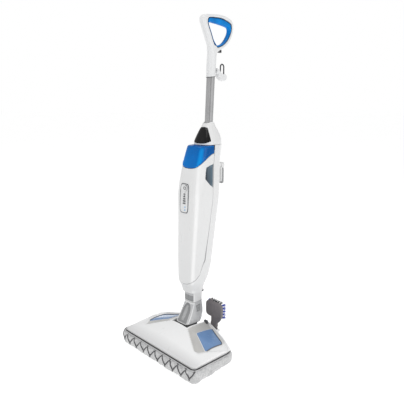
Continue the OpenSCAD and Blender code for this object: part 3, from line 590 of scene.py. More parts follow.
def tube_path(name, pts, r, mat, k=10, closed=False, squash=1.0, cap=True):
    """Round cord or rod along points, in mm."""
    P = [Vector(p) for p in pts]
    n = len(P)
    T = []
    for i in range(n):
        a = P[i - 1] if (closed or i > 0) else P[i]
        b = P[(i + 1) % n] if (closed or i < n - 1) else P[i]
        T.append((b - a).normalized())
    up = Vector((0, 0, 1)) if abs(T[0].z) < 0.9 else Vector((1, 0, 0))
    N = (up - T[0] * up.dot(T[0])).normalized()
    V, F = [], []
    for i in range(n):
        N = (N - T[i] * N.dot(T[i])).normalized()
        B = T[i].cross(N)
        rr = r(i / (n - 1)) if callable(r) else r
        for q in range(k):
            a = 2 * math.pi * q / k
            V.append(P[i] + N * (math.cos(a) * rr) + B * (math.sin(a) * rr * squash))
    rows = n if closed else n - 1
    for i in range(rows):
        for q in range(k):
            a, b = i * k + q, i * k + (q + 1) % k
            c, d = ((i + 1) % n) * k + (q + 1) % k, ((i + 1) % n) * k + q
            F.append((a, b, c, d))
    if cap and not closed:
        F.append(tuple(range(k))[::-1])
        F.append(tuple((n - 1) * k + q for q in range(k)))
    ob = obj_from(name, V, F, mat)
    bm = bmesh.new()
    bm.from_mesh(ob.data)
    bmesh.ops.recalc_face_normals(bm, faces=bm.faces)
    sharpen(bm, 50)
    bm.to_mesh(ob.data)
    bm.free()
    return ob


def join(obs, name=None):
    bpy.ops.object.select_all(action="DESELECT")
    for o in obs:
        o.select_set(True)
    bpy.context.view_layer.objects.active = obs[0]
    bpy.ops.object.join()
    if name:
        obs[0].name = name
        obs[0].data.name = name
    return obs[0]


def remesh(ob, voxel, rounds=6, factor=0.5, deg=60):
    """One skin over everything in the object, with its inner corners filled smooth."""
    mod(ob, "REMESH", mode="VOXEL", voxel_size=voxel * 0.001, adaptivity=0.0, use_smooth_shade=True)
    if rounds:
        mod(ob, "SMOOTH", iterations=rounds, factor=factor)
    return bake(ob, deg)


def place(ob, body, *nodes, slot=None):
    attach(ob, body)
    if nodes:
        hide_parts(*nodes)
    return ob


def along_tube(z, p):
    """A point p (mm) in the frame of the tube at height z."""
    a = math.atan(0.06)
    x, y, w = p
    return (x, 82 + 0.06 * z + y * math.cos(a) + w * math.sin(a), z - y * math.sin(a) + w * math.cos(a))


# ------------------------------------------------------------------ body shape
LV = [(205, 13, 77, 33), (215, 11, 79, 34), (230, 6, 84, 38), (244, 0, 90, 42), (256, -1.5, 97, 44.5), (272, -1, 104, 46),
      (300, -0.5, 113, 47), (347, 1, 120, 49.5), (405, 4, 128, 51.5), (484, 8, 139, 54.5), (550, 10.5, 147.5, 57),
      (600, 13, 150, 57), (615, 15, 150.5, 56.5), (642, 21, 152.5, 54), (668, 29.5, 155, 51.5),
      (704, 42, 161.5, 48.5), (728, 51, 167, 46), (742, 58, 170, 43.5)]
lvf, lvr, lvw = (Curve([(l[0], l[k]) for l in LV]) for k in (1, 2, 3))
SQ, WALL = 3.2, 2.6


def sec(z, t, d=0.0, n=None):
    f, r, w = lvf(z), lvr(z), lvw(z)
    if n is None:
        a = abs(t)
        up = smooth((z - 250) / 60) * smooth((700 - z) / 80)
        b = up * smooth((92 - a) / 30)
        n = SQ + 0.9 * b
        d = d + (1.6 + 3.4 * max(0.0, 1 - ((z - 632) / 62) ** 2)) * b
    return ((w - d) * ss(t, n), (f + r) / 2 - ((r - f) / 2 - d) * sc(t, n), z)


_zlow = Curve([(0, 242), (15, 246), (30, 251), (45, 256), (60, 262), (70, 268), (80, 278), (90, 326)])
_ztb = Curve([(0, 655), (15, 657.5), (30, 662), (45, 669), (60, 678.5), (75, 690.5), (90, 703)])
zlow = lambda t: _zlow(min(abs(t), 90))
ztb = lambda t: _ztb(min(abs(t), 90))
seam = Curve([(326, 0.03), (380, 0.5), (436, 1.5), (490, 2.4), (560, 3.1), (620, 3), (664, 2.2), (704, 1.2), (731, 0.4)])
TANK_TOP, TANK_BACK = 729.6, 107.0
GAP = 0.42
HI = [0, 0.07, 0.15, 0.25, 0.36, 0.46, 0.56, 0.64, 0.72, 0.80, 0.845, 0.89, 0.93, 0.97, 1]
grip_run = lambda a: 1 - (max(math.cos(math.radians(min(a, 90))), 0) / math.cos(math.radians(75))) ** 0.64 if a > 75 else 0.0
grip_lo = lambda a: mix(621, 582, grip_run(a))
grip_hi = lambda a: mix(659, 670, grip_run(a))


def steps(a, b, edges, fine, coarse):
    """Sample places from a to b, close together near the listed edges."""
    out, x = [a], a
    while x < b - 1e-6:
        near = min(abs(x - e) for e in edges) if edges else 1e9
        x = min(b, x + (fine if near < fine * 3 else coarse))
        for e in edges:
            if out[-1] < e - 1e-6 < x:
                x = e
        out.append(x)
    return out


def front_cover():
    U = steps(0, 14, [0, 7, 12, 14], 0.06, 0.22)
    Vv = steps(0, 24, [0, 2, 22, 24], 0.08, 0.25)

    def zz(i, t):
        a, lo, hi = abs(t), zlow(t) + 0.95, ztb(t) - 0.6
        k = min(int(i), 13)
        H = mix(HI[k], HI[k + 1], i - k)
        za, zb, w = grip_lo(a), grip_hi(a), cl((a - 60) / 15)
        if i <= 7:
            q = mix(lo, za, H / HI[7])
        elif i <= 12:
            q = mix(za, zb, (i - 7) / 5)
        else:
            q = mix(zb, hi, (i - 12) / 2)
        return mix(mix(lo, hi, H), q, w)

    def S(i, j):
        t = -90 + 180 * Vv[j] / 24
        z = zz(U[i], t)
        k = (90 + seam(z) - GAP) / 90
        return sec(z, t * k)

    def keep(i, j):
        u, v = (U[i] + U[i + 1]) / 2, (Vv[j] + Vv[j + 1]) / 2
        return not ((v < 2 or v > 22) and 7 < u < 12)

    ob = shell("body_front", S, len(U) - 1, len(Vv) - 1, WHITE, t=WALL, keep=keep, rim=0.55, segs=3,
               inside=lambda c: Vector((0, (lvf(c.z * 1000) + lvr(c.z * 1000)) / 2000, c.z)))
    # opening for the button
    cut_hole(ob, (0, 2, 590), (0, 22, 590), 9.6)
    return place(ob, "upper", "front_cover")


def cut_hole(ob, a, b, r, k=48):
    """Drills a round hole from a to b, in mm."""
    cut = tube_path("cutter", [a, tuple(mix(a[m], b[m], 0.5) for m in range(3)), b], r, WHITE, k=k)
    m = mod(ob, "BOOLEAN", operation="DIFFERENCE", solver="EXACT")
    m.object = cut
    bake(ob, outward=False)
    bpy.data.objects.remove(cut)


def rear_housing():
    rows = steps(0, 18, [0, 4, 18], 0.08, 0.3)
    cols = steps(0, 48, [12, 36], 0.08, 0.4)[:-1]

    def S(i, j):
        u, v = rows[i], cols[j % len(cols)]
        t = 7.5 * v - (360 if v > 24 else 0)
        a = abs(t)
        zl = zlow(a) - 0.95 if a <= 90 else 326
        if 88 < a < 92:
            zl = mix(zlow(90) - 0.95, 326, (a - 88) / 4) if a > 90 else zlow(a) - 0.95
        z = mix(205, zl, u / 4) if u <= 4 else mix(zl, 731, (u - 4) / 14)
        s = seam(z) + GAP
        b = a * (90 + s) / 90 if a <= 90 else 180 - (180 - a) * (90 - s) / 90
        return sec(z, -b if t < 0 else b)

    def keep(i, j):
        u = (rows[i] + rows[i + 1]) / 2
        v0 = cols[j]
        v1 = cols[(j + 1) % len(cols)] if j + 1 < len(cols) else 48
        v = (v0 + v1) / 2
        return u < 4 or 12 <= v < 36

    ob = shell("body_rear", S, len(rows) - 1, len(cols), WHITE, t=WALL, keep=keep, wrap=True, rim=0.5, segs=3,
               inside=lambda c: Vector((0, (lvf(c.z * 1000) + lvr(c.z * 1000)) / 2000, c.z)))
    # tongue behind the joint line, so that the joint has a bottom
    P = []
    for t in range(-88, 89, 2):
        P.append((t, zlow(t)))
    side = [(90 + seam(z), z) for z in range(330, 724, 12)]
    P = [(-a, z) for a, z in side[::-1]] + P + side
    M = len(P)

    def T(i, j):
        t, z = P[j]
        if abs(t) < 89:
            dz = mix(-5, 5, i / 4)
            return sec(z + dz, t, WALL + 0.15)
        near = -0.6 if 568 < z < 680 else -4.0
        dt = mix(4.0, near, i / 4) if t > 0 else mix(-4.0, -near, i / 4)
        return sec(z, t + dt, WALL + 0.15)

    tg = shell("joint_tongue", T, 4, M - 1, GREY, t=1.0, rim=0,
               inside=lambda c: Vector((0, (lvf(c.z * 1000) + lvr(c.z * 1000)) / 2000, c.z)))
    ob = join([ob, tg], "body_rear")
    return place(ob, "upper", "rear_housing")


TH = [(731.5, 80, 167, 44), (745, 84.5, 168.5, 42), (757, 89.5, 167.5, 38), (770, 95.5, 163, 32.5), (782, 101, 157, 26.5),
      (792, 106.5, 151, 21), (800, 110.5, 148, 18.5)]
thf, thr, thw = (Curve([(l[0], l[k]) for l in TH]) for k in (1, 2, 3))


def th(z, t, d=0.0, lift=0.0):
    return ((thw(z) - d) * ss(t, 2.8), (thf(z) + thr(z)) / 2 - ((thr(z) - thf(z)) / 2 - d) * sc(t, 2.8), z + lift)


def top_housing():
    Z = steps(731.5, 800, [731.5, 800], 1.2, 3.0)

    def S(i, j):
        t = 360 * j / 120
        z = Z[i]
        u = abs(math.sin(math.radians(t))) ** 3
        return th(z, t, 0, 5 * u * smooth((z - 770) / 30))

    ob = shell("body_top", S, len(Z) - 1, 120, WHITE, t=WALL, wrap=True, rim=0.9, segs=3,
               inside=lambda c: Vector((0, (thf(c.z * 1000) + thr(c.z * 1000)) / 2000, c.z)))
    return place(ob, "upper", "top_housing")


def name_plate():
    nu, nv = 30, 40

    def S(i, j):
        v = 2 * j / nv - 1
        # rounded corners: pull the ends of the rows in near the corners
        q = mix(0.03, 0.97, i / nu)
        lo, hi = 0.22 + 0.6 * v * v, 5.0 - 0.3 * v * v
        s = mix(lo, hi, q)
        k = min(int(s), 5)
        z = mix(TH[k][0], TH[k + 1][0], s - k)
        edge = 1 - 0.05 * max(0.0, abs(2 * q - 1) ** 14)
        t = v * mix(62, 37, q ** 1.1) * edge
        b = [mix(TH[k][m], TH[k + 1][m], s - k) for m in range(4)]
        return ((b[3] + 0.3) * ss(t, 2.8), (b[1] + b[2]) / 2 - ((b[2] - b[1]) / 2 + 1.6) * sc(t, 2.8), b[0])

    ob = shell("name_plate_gloss", S, nu, nv, GLOSS, t=1.5, rim=0.5, segs=3,
               inside=lambda c: Vector((0, 0.13, c.z)))
    return place(ob, "upper", "name_plate")


# ------------------------------------------------------------------ tank
def tank():
    k = 96

    def ring(z0, z1, m, d):
        """z0(t) and z1 are the lower and upper heights, m the share between them, d the inward offset."""
        zb = z0(90)
        zr = mix(zb, z1, m)
        x, y = lvw(zr) - WALL - 1.2 - d, TANK_BACK - d
        pts = []
        for j in range(k + 1):
            t = -90 + 180 * j / k
            z = mix(z0(t), z1, m)
            a = 90 + seam(z) - 0.9
            pts.append(sec(z, t * a / 90, d))
        ym = (lvf(zr) + lvr(zr)) / 2 + 3
        back = [(x, ym, zr), (x, y, zr), (30, y, zr), (19, y - 8, zr), (-19, y - 8, zr), (-30, y, zr), (-x, y, zr), (-x, ym, zr)]
        return pts + back

    z0 = lambda t: ztb(t) + 0.55
    rings = []
    prof = [(0.0, 1.6, 0.0), (0.0, 0.5, 0.6), (0.0, 0.0, 1.7)]
    for m, d, dz in prof:
        rings.append(ring(lambda t: z0(t) + dz, TANK_TOP, m, d))
    for m in (0.1, 0.2, 0.3, 0.4, 0.5, 0.6, 0.7, 0.8):
        rings.append(ring(z0, TANK_TOP, m, 0.0))
    for a in (0, 15, 30, 45, 60, 75, 90):
        r = 5.0
        zt_ = TANK_TOP - r * (1 - math.sin(math.radians(a)))
        rings.append([(p[0], p[1], min(p[2], zt_) if False else zt_) for p in ring(lambda t: zt_ - 0.01, zt_, 1.0, r * (1 - math.cos(math.radians(a))))])
    M = len(rings[0])
    V = [p for r in rings for p in r]
    F = []
    for i in range(len(rings) - 1):
        for j in range(M):
            a, b = i * M + j, i * M + (j + 1) % M
            F.append((a, b, b + M, a + M))
    F.append(tuple(range(M))[::-1])
    F.append(tuple((len(rings) - 1) * M + j for j in range(M)))
    ob = obj_from("tank_shell", V, F, TANK)
    bm = bmesh.new()
    bm.from_mesh(ob.data)
    bmesh.ops.recalc_face_normals(bm, faces=bm.faces)
    bmesh.ops.triangulate(bm, faces=[f for f in bm.faces if len(f.verts) > 4])
    sharpen(bm, 35)
    bm.to_mesh(ob.data)
    bm.free()
    place(ob, "water_tank", "water_tank")
    # moulded band along the lower edge
    band = []
    for j in range(k + 1):
        t = -84 + 168 * j / k
        z = ztb(t) + 4.6
        band.append(sec(z, t * (90 + seam(z) - 0.9) / 90, -0.12))
    beads = [tube_path("tank_rib", band, 0.75, TANK, k=8)]
    # finger hold on each flank: a shallow rounded frame
    for s in (-1, 1):
        pts = []
        for q in range(64):
            t = 67 + 11.5 * ss(5.625 * q, 4)
            z = 711 + 10.5 * sc(5.625 * q, 4) + (t - 67) * 0.28
            pts.append(sec(z, s * t, 0.15))
        beads.append(tube_path(f"finger_hold_{s}", pts, 1.15, CAPBLUE, k=8, closed=True))
    b = join(beads, "tank_rib")
    place(b, "water_tank", slot="tank_blue")


def tank_cap():
    obs = []
    rings = [(8.5, 719), (8.5, 729.4), (10.4, 729.9), (10.6, 730.3), (10.5, 730.8), (9.6, 731.1), (7.8, 731.1), (7.3, 730.5), (0.3, 730.4)]
    k = 72
    V, F = [], []
    for i, (r, z) in enumerate(rings):
        for q in range(k):
            rr = r + (0.28 if (q % 4 < 2 and 3 <= i <= 4) else 0)
            a = 2 * math.pi * q / k
            V.append((rr * math.cos(a), 64 + rr * math.sin(a), z))
    for i in range(len(rings) - 1):
        for q in range(k):
            a, b = i * k + q, i * k + (q + 1) % k
            F.append((a, b, b + k, a + k))
    F.append(tuple(range(k))[::-1])
    F.append(tuple((len(rings) - 1) * k + q for q in range(k)))
    ob = obj_from("fill_cap", V, F, CAPBLUE)
    outward(ob, (0, 0.064, 0.725))
    obs.append(ob)
    bar = prism("fill_cap_bar", superloop(6.6, 1.6, 4, 40, 0, 64), lambda a, b, c: (a, b, 730.35 + c), 0.75, CAPBLUE, rim=0.25)
    ob = join([ob, bar], "fill_cap")
    place(ob, "tank_cap", "tank_cap")


# ------------------------------------------------------------------ controls on the front
def front_point(x, z, out):
    """A point on the front of the body at x, raised by out."""
    lo, hi = 0.0, 60.0
    b = smooth((z - 250) / 60) * smooth((700 - z) / 80)
    v = abs(x) / (lvw(z) - 1.6 * b)
    t = math.degrees(math.asin(min(1, v ** ((SQ + 0.9 * b) / 2))))
    p = sec(z, math.copysign(t, x) if x else 0)
    return (x, p[1] - out, z)


def controls():
    cz, hw, hh = 553.0, 19.0, 51.0
    parts = []

    def plate(name, w, h, out, thick, mats, n=5.5, rim=0.8, czz=cz, cx=0.0, k=96):
        o = prism(name, superloop(w, h, n, k, cx, czz), lambda a, b, c: front_point(a, b, out - thick + c), thick, mats, rim=rim)
        return o

    bx = -5.5
    rim_ = plate("badge_flange", hw + 3.0, hh + 1.9, 1.0, 1.6, BADGE, rim=0.5, cx=bx)
    frame_ = plate("badge_line", hw + 1.7, hh + 0.4, 1.6, 1.8, LINE, rim=0.4, cx=bx)
    face = plate("badge_face", hw - 1.2, hh - 2.6, 2.2, 1.6, BADGE, rim=0.5, cx=bx)
    for o in (rim_, frame_, face):
        cut_hole(o, (0, 0, 590), (0, 25, 590), 9.35)
        parts.append(o)
    # steam marks: bars that grow, and two dots
    for i in range(5):
        z = 568 - i * 8.0
        o = plate(f"mark_{i}", 3.4 + 0.9 * i, 2.1, 2.9, 0.9, LINE, n=4, rim=0.2, czz=z, k=24, cx=-4.0)
        parts.append(o)
    ob = join(parts, "control_badge")
    place(ob, "upper", "control_bezel")
    lens = []
    for z in (513, 523):
        rings = [(2.6, 0.0), (2.6, 1.0), (2.35, 1.45), (1.5, 1.8), (0.3, 1.9)]
        V, F, k = [], [], 28
        for r, o in rings:
            for q in range(k):
                a = 2 * math.pi * q / k
                V.append(front_point(r * math.cos(a), z + r * math.sin(a), 1.6 + o))
        for i in range(len(rings) - 1):
            for q in range(k):
                a, b = i * k + q, i * k + (q + 1) % k
                F.append((a, b, b + k, a + k))
        F.append(tuple(range(k))[::-1])
        F.append(tuple((len(rings) - 1) * k + q for q in range(k)))
        o = obj_from(f"lens_{z}", V, F, LENS)
        outward(o, (0, 0.05, z / 1000))
        lens.append(o)
    ob = join(lens, "indicator_lamps")
    place(ob, "upper", "indicator_lenses")
    # button with a turned rim and a ring mark
    prof = [(9.0, 0), (9.0, 2.5), (8.6, 3.1), (7.9, 3.3), (7.3, 3.15), (6.8, 2.75), (5.0, 2.55), (0.3, 2.5)]
    V, F, k = [], [], 56
    for r, o in prof:
        for q in range(k):
            a = 2 * math.pi * q / k
            V.append((r * math.cos(a), 12.0 - o, 590 + r * math.sin(a)))
    for i in range(len(prof) - 1):
        for q in range(k):
            a, b = i * k + q, i * k + (q + 1) % k
            F.append((a, b, b + k, a + k))
    F.append(tuple(range(k)))
    F.append(tuple((len(prof) - 1) * k + q for q in range(k))[::-1])
    cap = obj_from("button_face", V, F, BADGE)
    outward(cap, (0, 0.0108, 0.59))
    ring = tube_path("button_ring", [(5.0 * math.cos(a), 9.35, 590 + 5.0 * math.sin(a)) for a in
                                     [math.radians(120 + 300 * i / 40) for i in range(41)]], 1.0, LINE, k=8)
    tick = tube_path("button_tick", [(0, 9.35, 592.2), (0, 9.35, 593.8), (0, 9.35, 595.6)], 1.0, LINE, k=8)
    stem = tube_path("button_stem", [(0, 11.9, 590), (0, 16, 590), (0, 21, 590)], 4.0, SATIN, k=24)
    ob = join([cap, ring, tick, stem], "power_button_cap")
    place(ob, "power_button", "power_button")
    # return spring: closed ends, open coils between
    pts = []
    turns, n = 7.5, 300
    for i in range(n + 1):
        q = i / n
        yy = lin(q, [(0, 12.9), (0.12, 13.9), (0.88, 28.9), (1, 29.9)])
        a = 2 * math.pi * turns * q
        pts.append((5.75 * math.cos(a), yy, 590 + 5.75 * math.sin(a)))
    sp = tube_path("button_coil", pts, 0.5, STEEL, k=8)
    place(sp, "upper", "button_spring")
    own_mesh(sp)


def grip_liners():
    obs = []
    for s in (-1, 1):
        nu, nv = 26, 22

        def S(i, j):
            v, q = i / nu, j / nv
            a = mix(73, 90, q)
            z = mix(grip_lo(max(a, 75)) - 4, grip_hi(max(a, 75)) + 4, v)
            t = a + 2.6 * q
            ev = cl(min(v, 1 - v) / 0.22)
            eu = cl(min(q / 0.35, (1 - q) / 0.2))
            dep = mix(WALL + 0.3, 13.0, smooth(ev) * smooth(eu))
            return sec(z, s * t, dep)

        ob = shell(f"grip_liner_{s}", S, nu, nv, LINER, t=1.2, rim=0, inside=lambda c: Vector((0, c.y, c.z)))
        obs.append(ob)
    ob = join(obs, "grip_pockets")
    place(ob, "upper", "grip_liners")


# ------------------------------------------------------------------ tube
def tube():
    k, L = 144, 352
    V, F = [], []

    def rad(a):
        g = 0.0
        for c in (45, 135, 225, 315):
            dd = abs((a - c + 180) % 360 - 180)
            g += 1.6 * math.exp(-(dd / 7.5) ** 2)
        return 14.5 - g

    zs = [0, 0.5, 2] + [2 + (L - 4) * i / 14 for i in range(1, 14)] + [L - 2, L - 0.5, L]
    for i, z in enumerate(zs):
        drop = 0.5 if i in (0, len(zs) - 1) else 0
        for q in range(k):
            a = 360 * q / k
            r = rad(a) - drop
            V.append(along_tube(642, (r * math.cos(math.radians(a)), r * math.sin(math.radians(a)), z)))
    for i in range(len(zs) - 1):
        for q in range(k):
            a, b = i * k + q, i * k + (q + 1) % k
            F.append((a, b, b + k, a + k))
    n = len(V)
    for z in (L, 0):
        for q in range(k):
            a = math.radians(360 * q / k)
            V.append(along_tube(642, (12.9 * math.cos(a), 12.9 * math.sin(a), z)))
    top = (len(zs) - 1) * k
    for q in range(k):
        q2 = (q + 1) % k
        F.append((top + q, top + q2, n + q2, n + q))
        F.append((q2, q, n + k + q, n + k + q2))
        F.append((n + q, n + q2, n + k + q2, n + k + q))
    # the faces in the grooves take the darker copy: painted shade in the grooves
    tone = [0] * len(F)
    for i in range(len(zs) - 1):
        for q in range(k):
            a = 360 * (q + 0.5) / k
            if min(abs((a - c + 180) % 360 - 180) for c in (45, 135, 225, 315)) < 6.5:
                tone[i * k + q] = 1
    ob = obj_from("upright_tube", V, F, [TUBE, TUBE_GROOVE_SHADE], tone, clean=False)
    bm = bmesh.new()
    bm.from_mesh(ob.data)
    bmesh.ops.recalc_face_normals(bm, faces=bm.faces)
    sharpen(bm, 40)
    bm.to_mesh(ob.data)
    bm.free()
    place(ob, "upper", "handle_tube")
    pts = []
    for i in range(72):
        a = 2 * math.pi * i / 72
        x, y = 17.0 * math.cos(a), 17.0 * math.sin(a)
        c0 = along_tube(799, (0, 0, 0))
        pts.append((x, c0[1] + y, 800.6 + 5 * abs(math.cos(a)) ** 3))
    o = tube_path("tube_seat_ring", pts, 2.6, WHITE, k=14, closed=True)
    place(o, "upper", slot="white_shell")


# ------------------------------------------------------------------ handle
OUT = [(131, 1036), (129, 1054), (119, 1077), (107, 1100), (95, 1124), (92, 1138), (100, 1148), (120, 1152), (150, 1156), (183, 1158),
       (216, 1155), (237, 1147), (246, 1132), (243, 1109), (232, 1086), (216, 1068), (196, 1054), (174, 1044), (160, 1036)]
MID = [(154, 1058), (141, 1072), (129, 1096), (116, 1121), (116, 1136), (126, 1143), (156, 1146), (186, 1147), (215, 1142), (231, 1137), (236, 1129),
       (235, 1114), (227, 1097), (214, 1080), (196, 1066), (176, 1057), (163, 1054)]
INN = [(156, 1064), (144, 1077), (132, 1100), (120, 1122), (123, 1129), (148, 1130), (186, 1128), (219, 1125), (230, 1118), (227, 1100),
       (215, 1082), (197, 1069), (176, 1062), (163, 1060)]


def ray_radius(loop, c, ang):
    """How far from c the outline is in a direction."""
    d = (math.cos(ang), math.sin(ang))
    best = 0
    n = len(loop)
    for i in range(n):
        a, b = loop[i], loop[(i + 1) % n]
        ex, ey = b[0] - a[0], b[1] - a[1]
        den = d[0] * ey - d[1] * ex
        if abs(den) < 1e-9:
            continue
        t = ((a[0] - c[0]) * ey - (a[1] - c[1]) * ex) / den
        u = ((a[0] - c[0]) * d[1] - (a[1] - c[1]) * d[0]) / den
        if t > 0 and -1e-6 <= u <= 1 + 1e-6:
            best = max(best, t)
    return best


def ring_solid(name, outer, inner, half, mat, n=3.4, c=(172, 1100), k=180, m=28, grow=0.0):
    """A closed ring whose section is a rounded box between two outlines."""
    A, B = catmull(outer, 6), catmull(inner, 6)
    V, F = [], []
    for i in range(k):
        ang = 2 * math.pi * i / k
        ro, ri = ray_radius(A, c, ang), ray_radius(B, c, ang)
        mid, hw = (ro + ri) / 2, (ro - ri) / 2 + grow
        for j in range(m):
            t = 360 * j / m
            rr = mid + hw * sc(t, n)
            V.append((half * ss(t, n), c[0] + rr * math.cos(ang), c[1] + rr * math.sin(ang)))
    for i in range(k):
        for j in range(m):
            a, b = i * m + j, i * m + (j + 1) % m
            c2, d = ((i + 1) % k) * m + (j + 1) % m, ((i + 1) % k) * m + j
            F.append((a, b, c2, d))
    ob = obj_from(name, V, F, mat)
    bm = bmesh.new()
    bm.from_mesh(ob.data)
    bmesh.ops.recalc_face_normals(bm, faces=bm.faces)
    bm.to_mesh(ob.data)
    bm.free()
    return ob


def handle():
    ring = ring_solid("handle_ring", OUT, MID, 12.4, WHITE_HANDLE, n=3.2, grow=0.3)
    # neck: round below, widening into the ring
    V, F, k = [], [], 64
    prof = [(0, 15.0, 15.0, 0, 0), (1.2, 15.8, 15.8, 0, 0), (30, 15.8, 15.9, 0, 0), (60, 15.6, 16.2, 0, 0), (78, 14.6, 17, 1, 0), (96, 12.4, 20, 3, 0), (104, 11.2, 19, 4, 0)]
    for (z, rx, ry, cy, _) in prof:
        for q in range(k):
            a = 360 * q / k
            V.append(along_tube(955, (rx * ss(a, 2.15), cy + ry * sc(a, 2.15), z)))
    for i in range(len(prof) - 1):
        for q in range(k):
            a, b = i * k + q, i * k + (q + 1) % k
            F.append((a, b, b + k, a + k))
    F.append(tuple(range(k))[::-1])
    F.append(tuple((len(prof) - 1) * k + q for q in range(k)))
    neck = obj_from("handle_neck", V, F, WHITE_HANDLE)
    ob = join([ring, neck], "handle_shell")
    remesh(ob, 1.3, rounds=10, factor=0.5)
    # the lower end is cut on a slant, higher at the back
    a0, b0 = Vector(along_tube(955, (0, -16, 0.2))), Vector(along_tube(955, (0, 16, 6.5)))
    nrm = Vector((0, -(b0 - a0).z, (b0 - a0).y)).normalized()
    bm = bmesh.new()
    bm.from_mesh(ob.data)
    res = bmesh.ops.bisect_plane(bm, geom=bm.verts[:] + bm.edges[:] + bm.faces[:], plane_co=a0 * 0.001, plane_no=nrm, clear_inner=True)
    bmesh.ops.triangle_fill(bm, edges=[e for e in res["geom_cut"] if isinstance(e, bmesh.types.BMEdge)], use_beauty=True)
    bmesh.ops.recalc_face_normals(bm, faces=bm.faces)
    bm.to_mesh(ob.data)
    bm.free()
    # socket for the tube, then two halves that meet in the middle
    cut_hole(ob, along_tube(955, (0, 0, -9)), along_tube(955, (0, 0, 38)), 14.55, k=64)
    me = ob.data
    for side, name in ((1, "handle_half_right"), (-1, "handle_half_left")):
        bm = bmesh.new()
        bm.from_mesh(me)
        res = bmesh.ops.bisect_plane(bm, geom=bm.verts[:] + bm.edges[:] + bm.faces[:], plane_co=(side * 0.00018, 0, 0),
                                     plane_no=(side, 0, 0), clear_inner=True, clear_outer=False)
        cut = [e for e in res["geom_cut"] if isinstance(e, bmesh.types.BMEdge)]
        bmesh.ops.triangle_fill(bm, edges=cut, use_beauty=True, use_dissolve=False)
        bmesh.ops.recalc_face_normals(bm, faces=bm.faces)
        nm = bpy.data.meshes.new(name)
        sharpen(bm, 40)
        bm.to_mesh(nm)
        bm.free()
        o = bpy.data.objects.new(name, nm)
        scene.collection.objects.link(o)
        nm.materials.clear()
        nm.materials.append(WHITE_HANDLE)
        mod(o, "BEVEL", width=0.0004, segments=2, limit_method="ANGLE", angle_limit=math.radians(60))
        bake(o, 40)
        place(o, "upper", "handle_right" if side > 0 else "handle_left")
    bpy.data.objects.remove(ob)
    col_ = []
    for i in range(65):
        a = 2 * math.pi * i / 64
        col_.append(along_tube(955, (15.2 * math.cos(a), 15.2 * math.sin(a), 2.4 + 3.1 * math.sin(a))))
    cr = tube_path("tube_collar", col_[:-1], 1.05, LINE, k=10, closed=True)
    place(cr, "upper", slot="dark_plastic")
    g = ring_solid("grip_lining", MID, INN, 9.4, GRIP, n=3.6, grow=0.25)
    # finger waves inside the top bar
    for v in g.data.vertices:
        y, z = v.co.y * 1000, v.co.z * 1000
        if z < 1137 and 135 < y < 215 and z > 1110:
            v.co.z += 0.0005 * math.sin((y - 135) / 80 * math.pi * 6) * smooth(1 - abs(v.co.x) / 0.0095)
    place(g, "upper", "grip_insert")
    seams_ = []
    A = catmull(MID, 6)
    for s_ in (-1, 1):
        pts = []
        for i in range(180):
            ang = 2 * math.pi * i / 180
            r_ = ray_radius(A, (172, 1100), ang) - 0.6
            pts.append((s_ * 9.6, 172 + r_ * math.cos(ang), 1100 + r_ * math.sin(ang)))
        seams_.append(tube_path(f"grip_seam_{s_}", pts, 0.95, NAVY, k=8, closed=True))
    place(join(seams_, "grip_seam"), "upper", slot="grip_rubber")


# ------------------------------------------------------------------ foot
FW, FF, FZ, FR = 178.0, 134.0, 52.0, 37.0
rear_y = Curve([(0, 82), (38, 82), (83, 76), (120, 66.5), (150, 56), (172, 46), (186, 38), (200, 30)])
ridge = Curve([(0, 80), (40, 78), (70, 73), (106, 62), (150, 53), (178, 45), (190, 42)])
rim = lambda y: FZ - 15 * cl((y + FF) / 180)
half_w = lambda y: FW + 8 * cl((y + FF) / 170)


def zt(x, y):
    ax = min(abs(x) / half_w(y), 1)
    t = (y + FF) / (FF - 18)
    c = 1 - 0.93 * ax ** 1.8
    top = rim(-18) + 3 + (FZ + FR + 8 - rim(-18) - 3) * c
    a = rim(y) + 3 + (top - rim(-18) - 3) * max(t, 0) * (1 + 0.35 * (1 - t))
    b = mix(top, ridge(abs(x)), cl((y + 18) / (rear_y(abs(x)) + 12)) ** 1.3)
    s = smooth((y + 24) / 12)
    return mix(a if y < -18 else top, b, s) if abs(y + 18) < 6 else (a if y < -18 else b)


# the sculpted pocket round each window: its edges in plan and how wide each slope is
PK = [((42, 79), (42, -26), 30), ((42, -26), (77, -49), 24), ((77, -49), (123, -78), 24), ((123, -78), (142, -78), 16),
      ((142, -78), (176, -5), 12), ((176, -5), (188, 33), 9)]


def pocket(x, y):
    """0 outside the pocket, 1 on its floor."""
    x = abs(x)
    w = 1.0
    for (ax, ay), (bx, by), wd in PK:
        dx, dy = bx - ax, by - ay
        L = math.hypot(dx, dy)
        d = ((x - ax) * -dy + (y - ay) * dx) / L      # inside is to the left of each edge
        w = min(w, d / wd)
    w = min(w, (rear_y(x) - 5 - y) / 7)
    if w <= 0:
        return 0.0
    return 1 - (1 - cl(w)) ** 1.8


def edge_in(x, y):
    """Distance to the nearest plan edge, roughly."""
    return min(y + FF, half_w(y) - abs(x), rear_y(abs(x)) - y)


def foot_z(x, y, deep=8.5):
    z = zt(x, y) - deep * pocket(x, y)
    return z


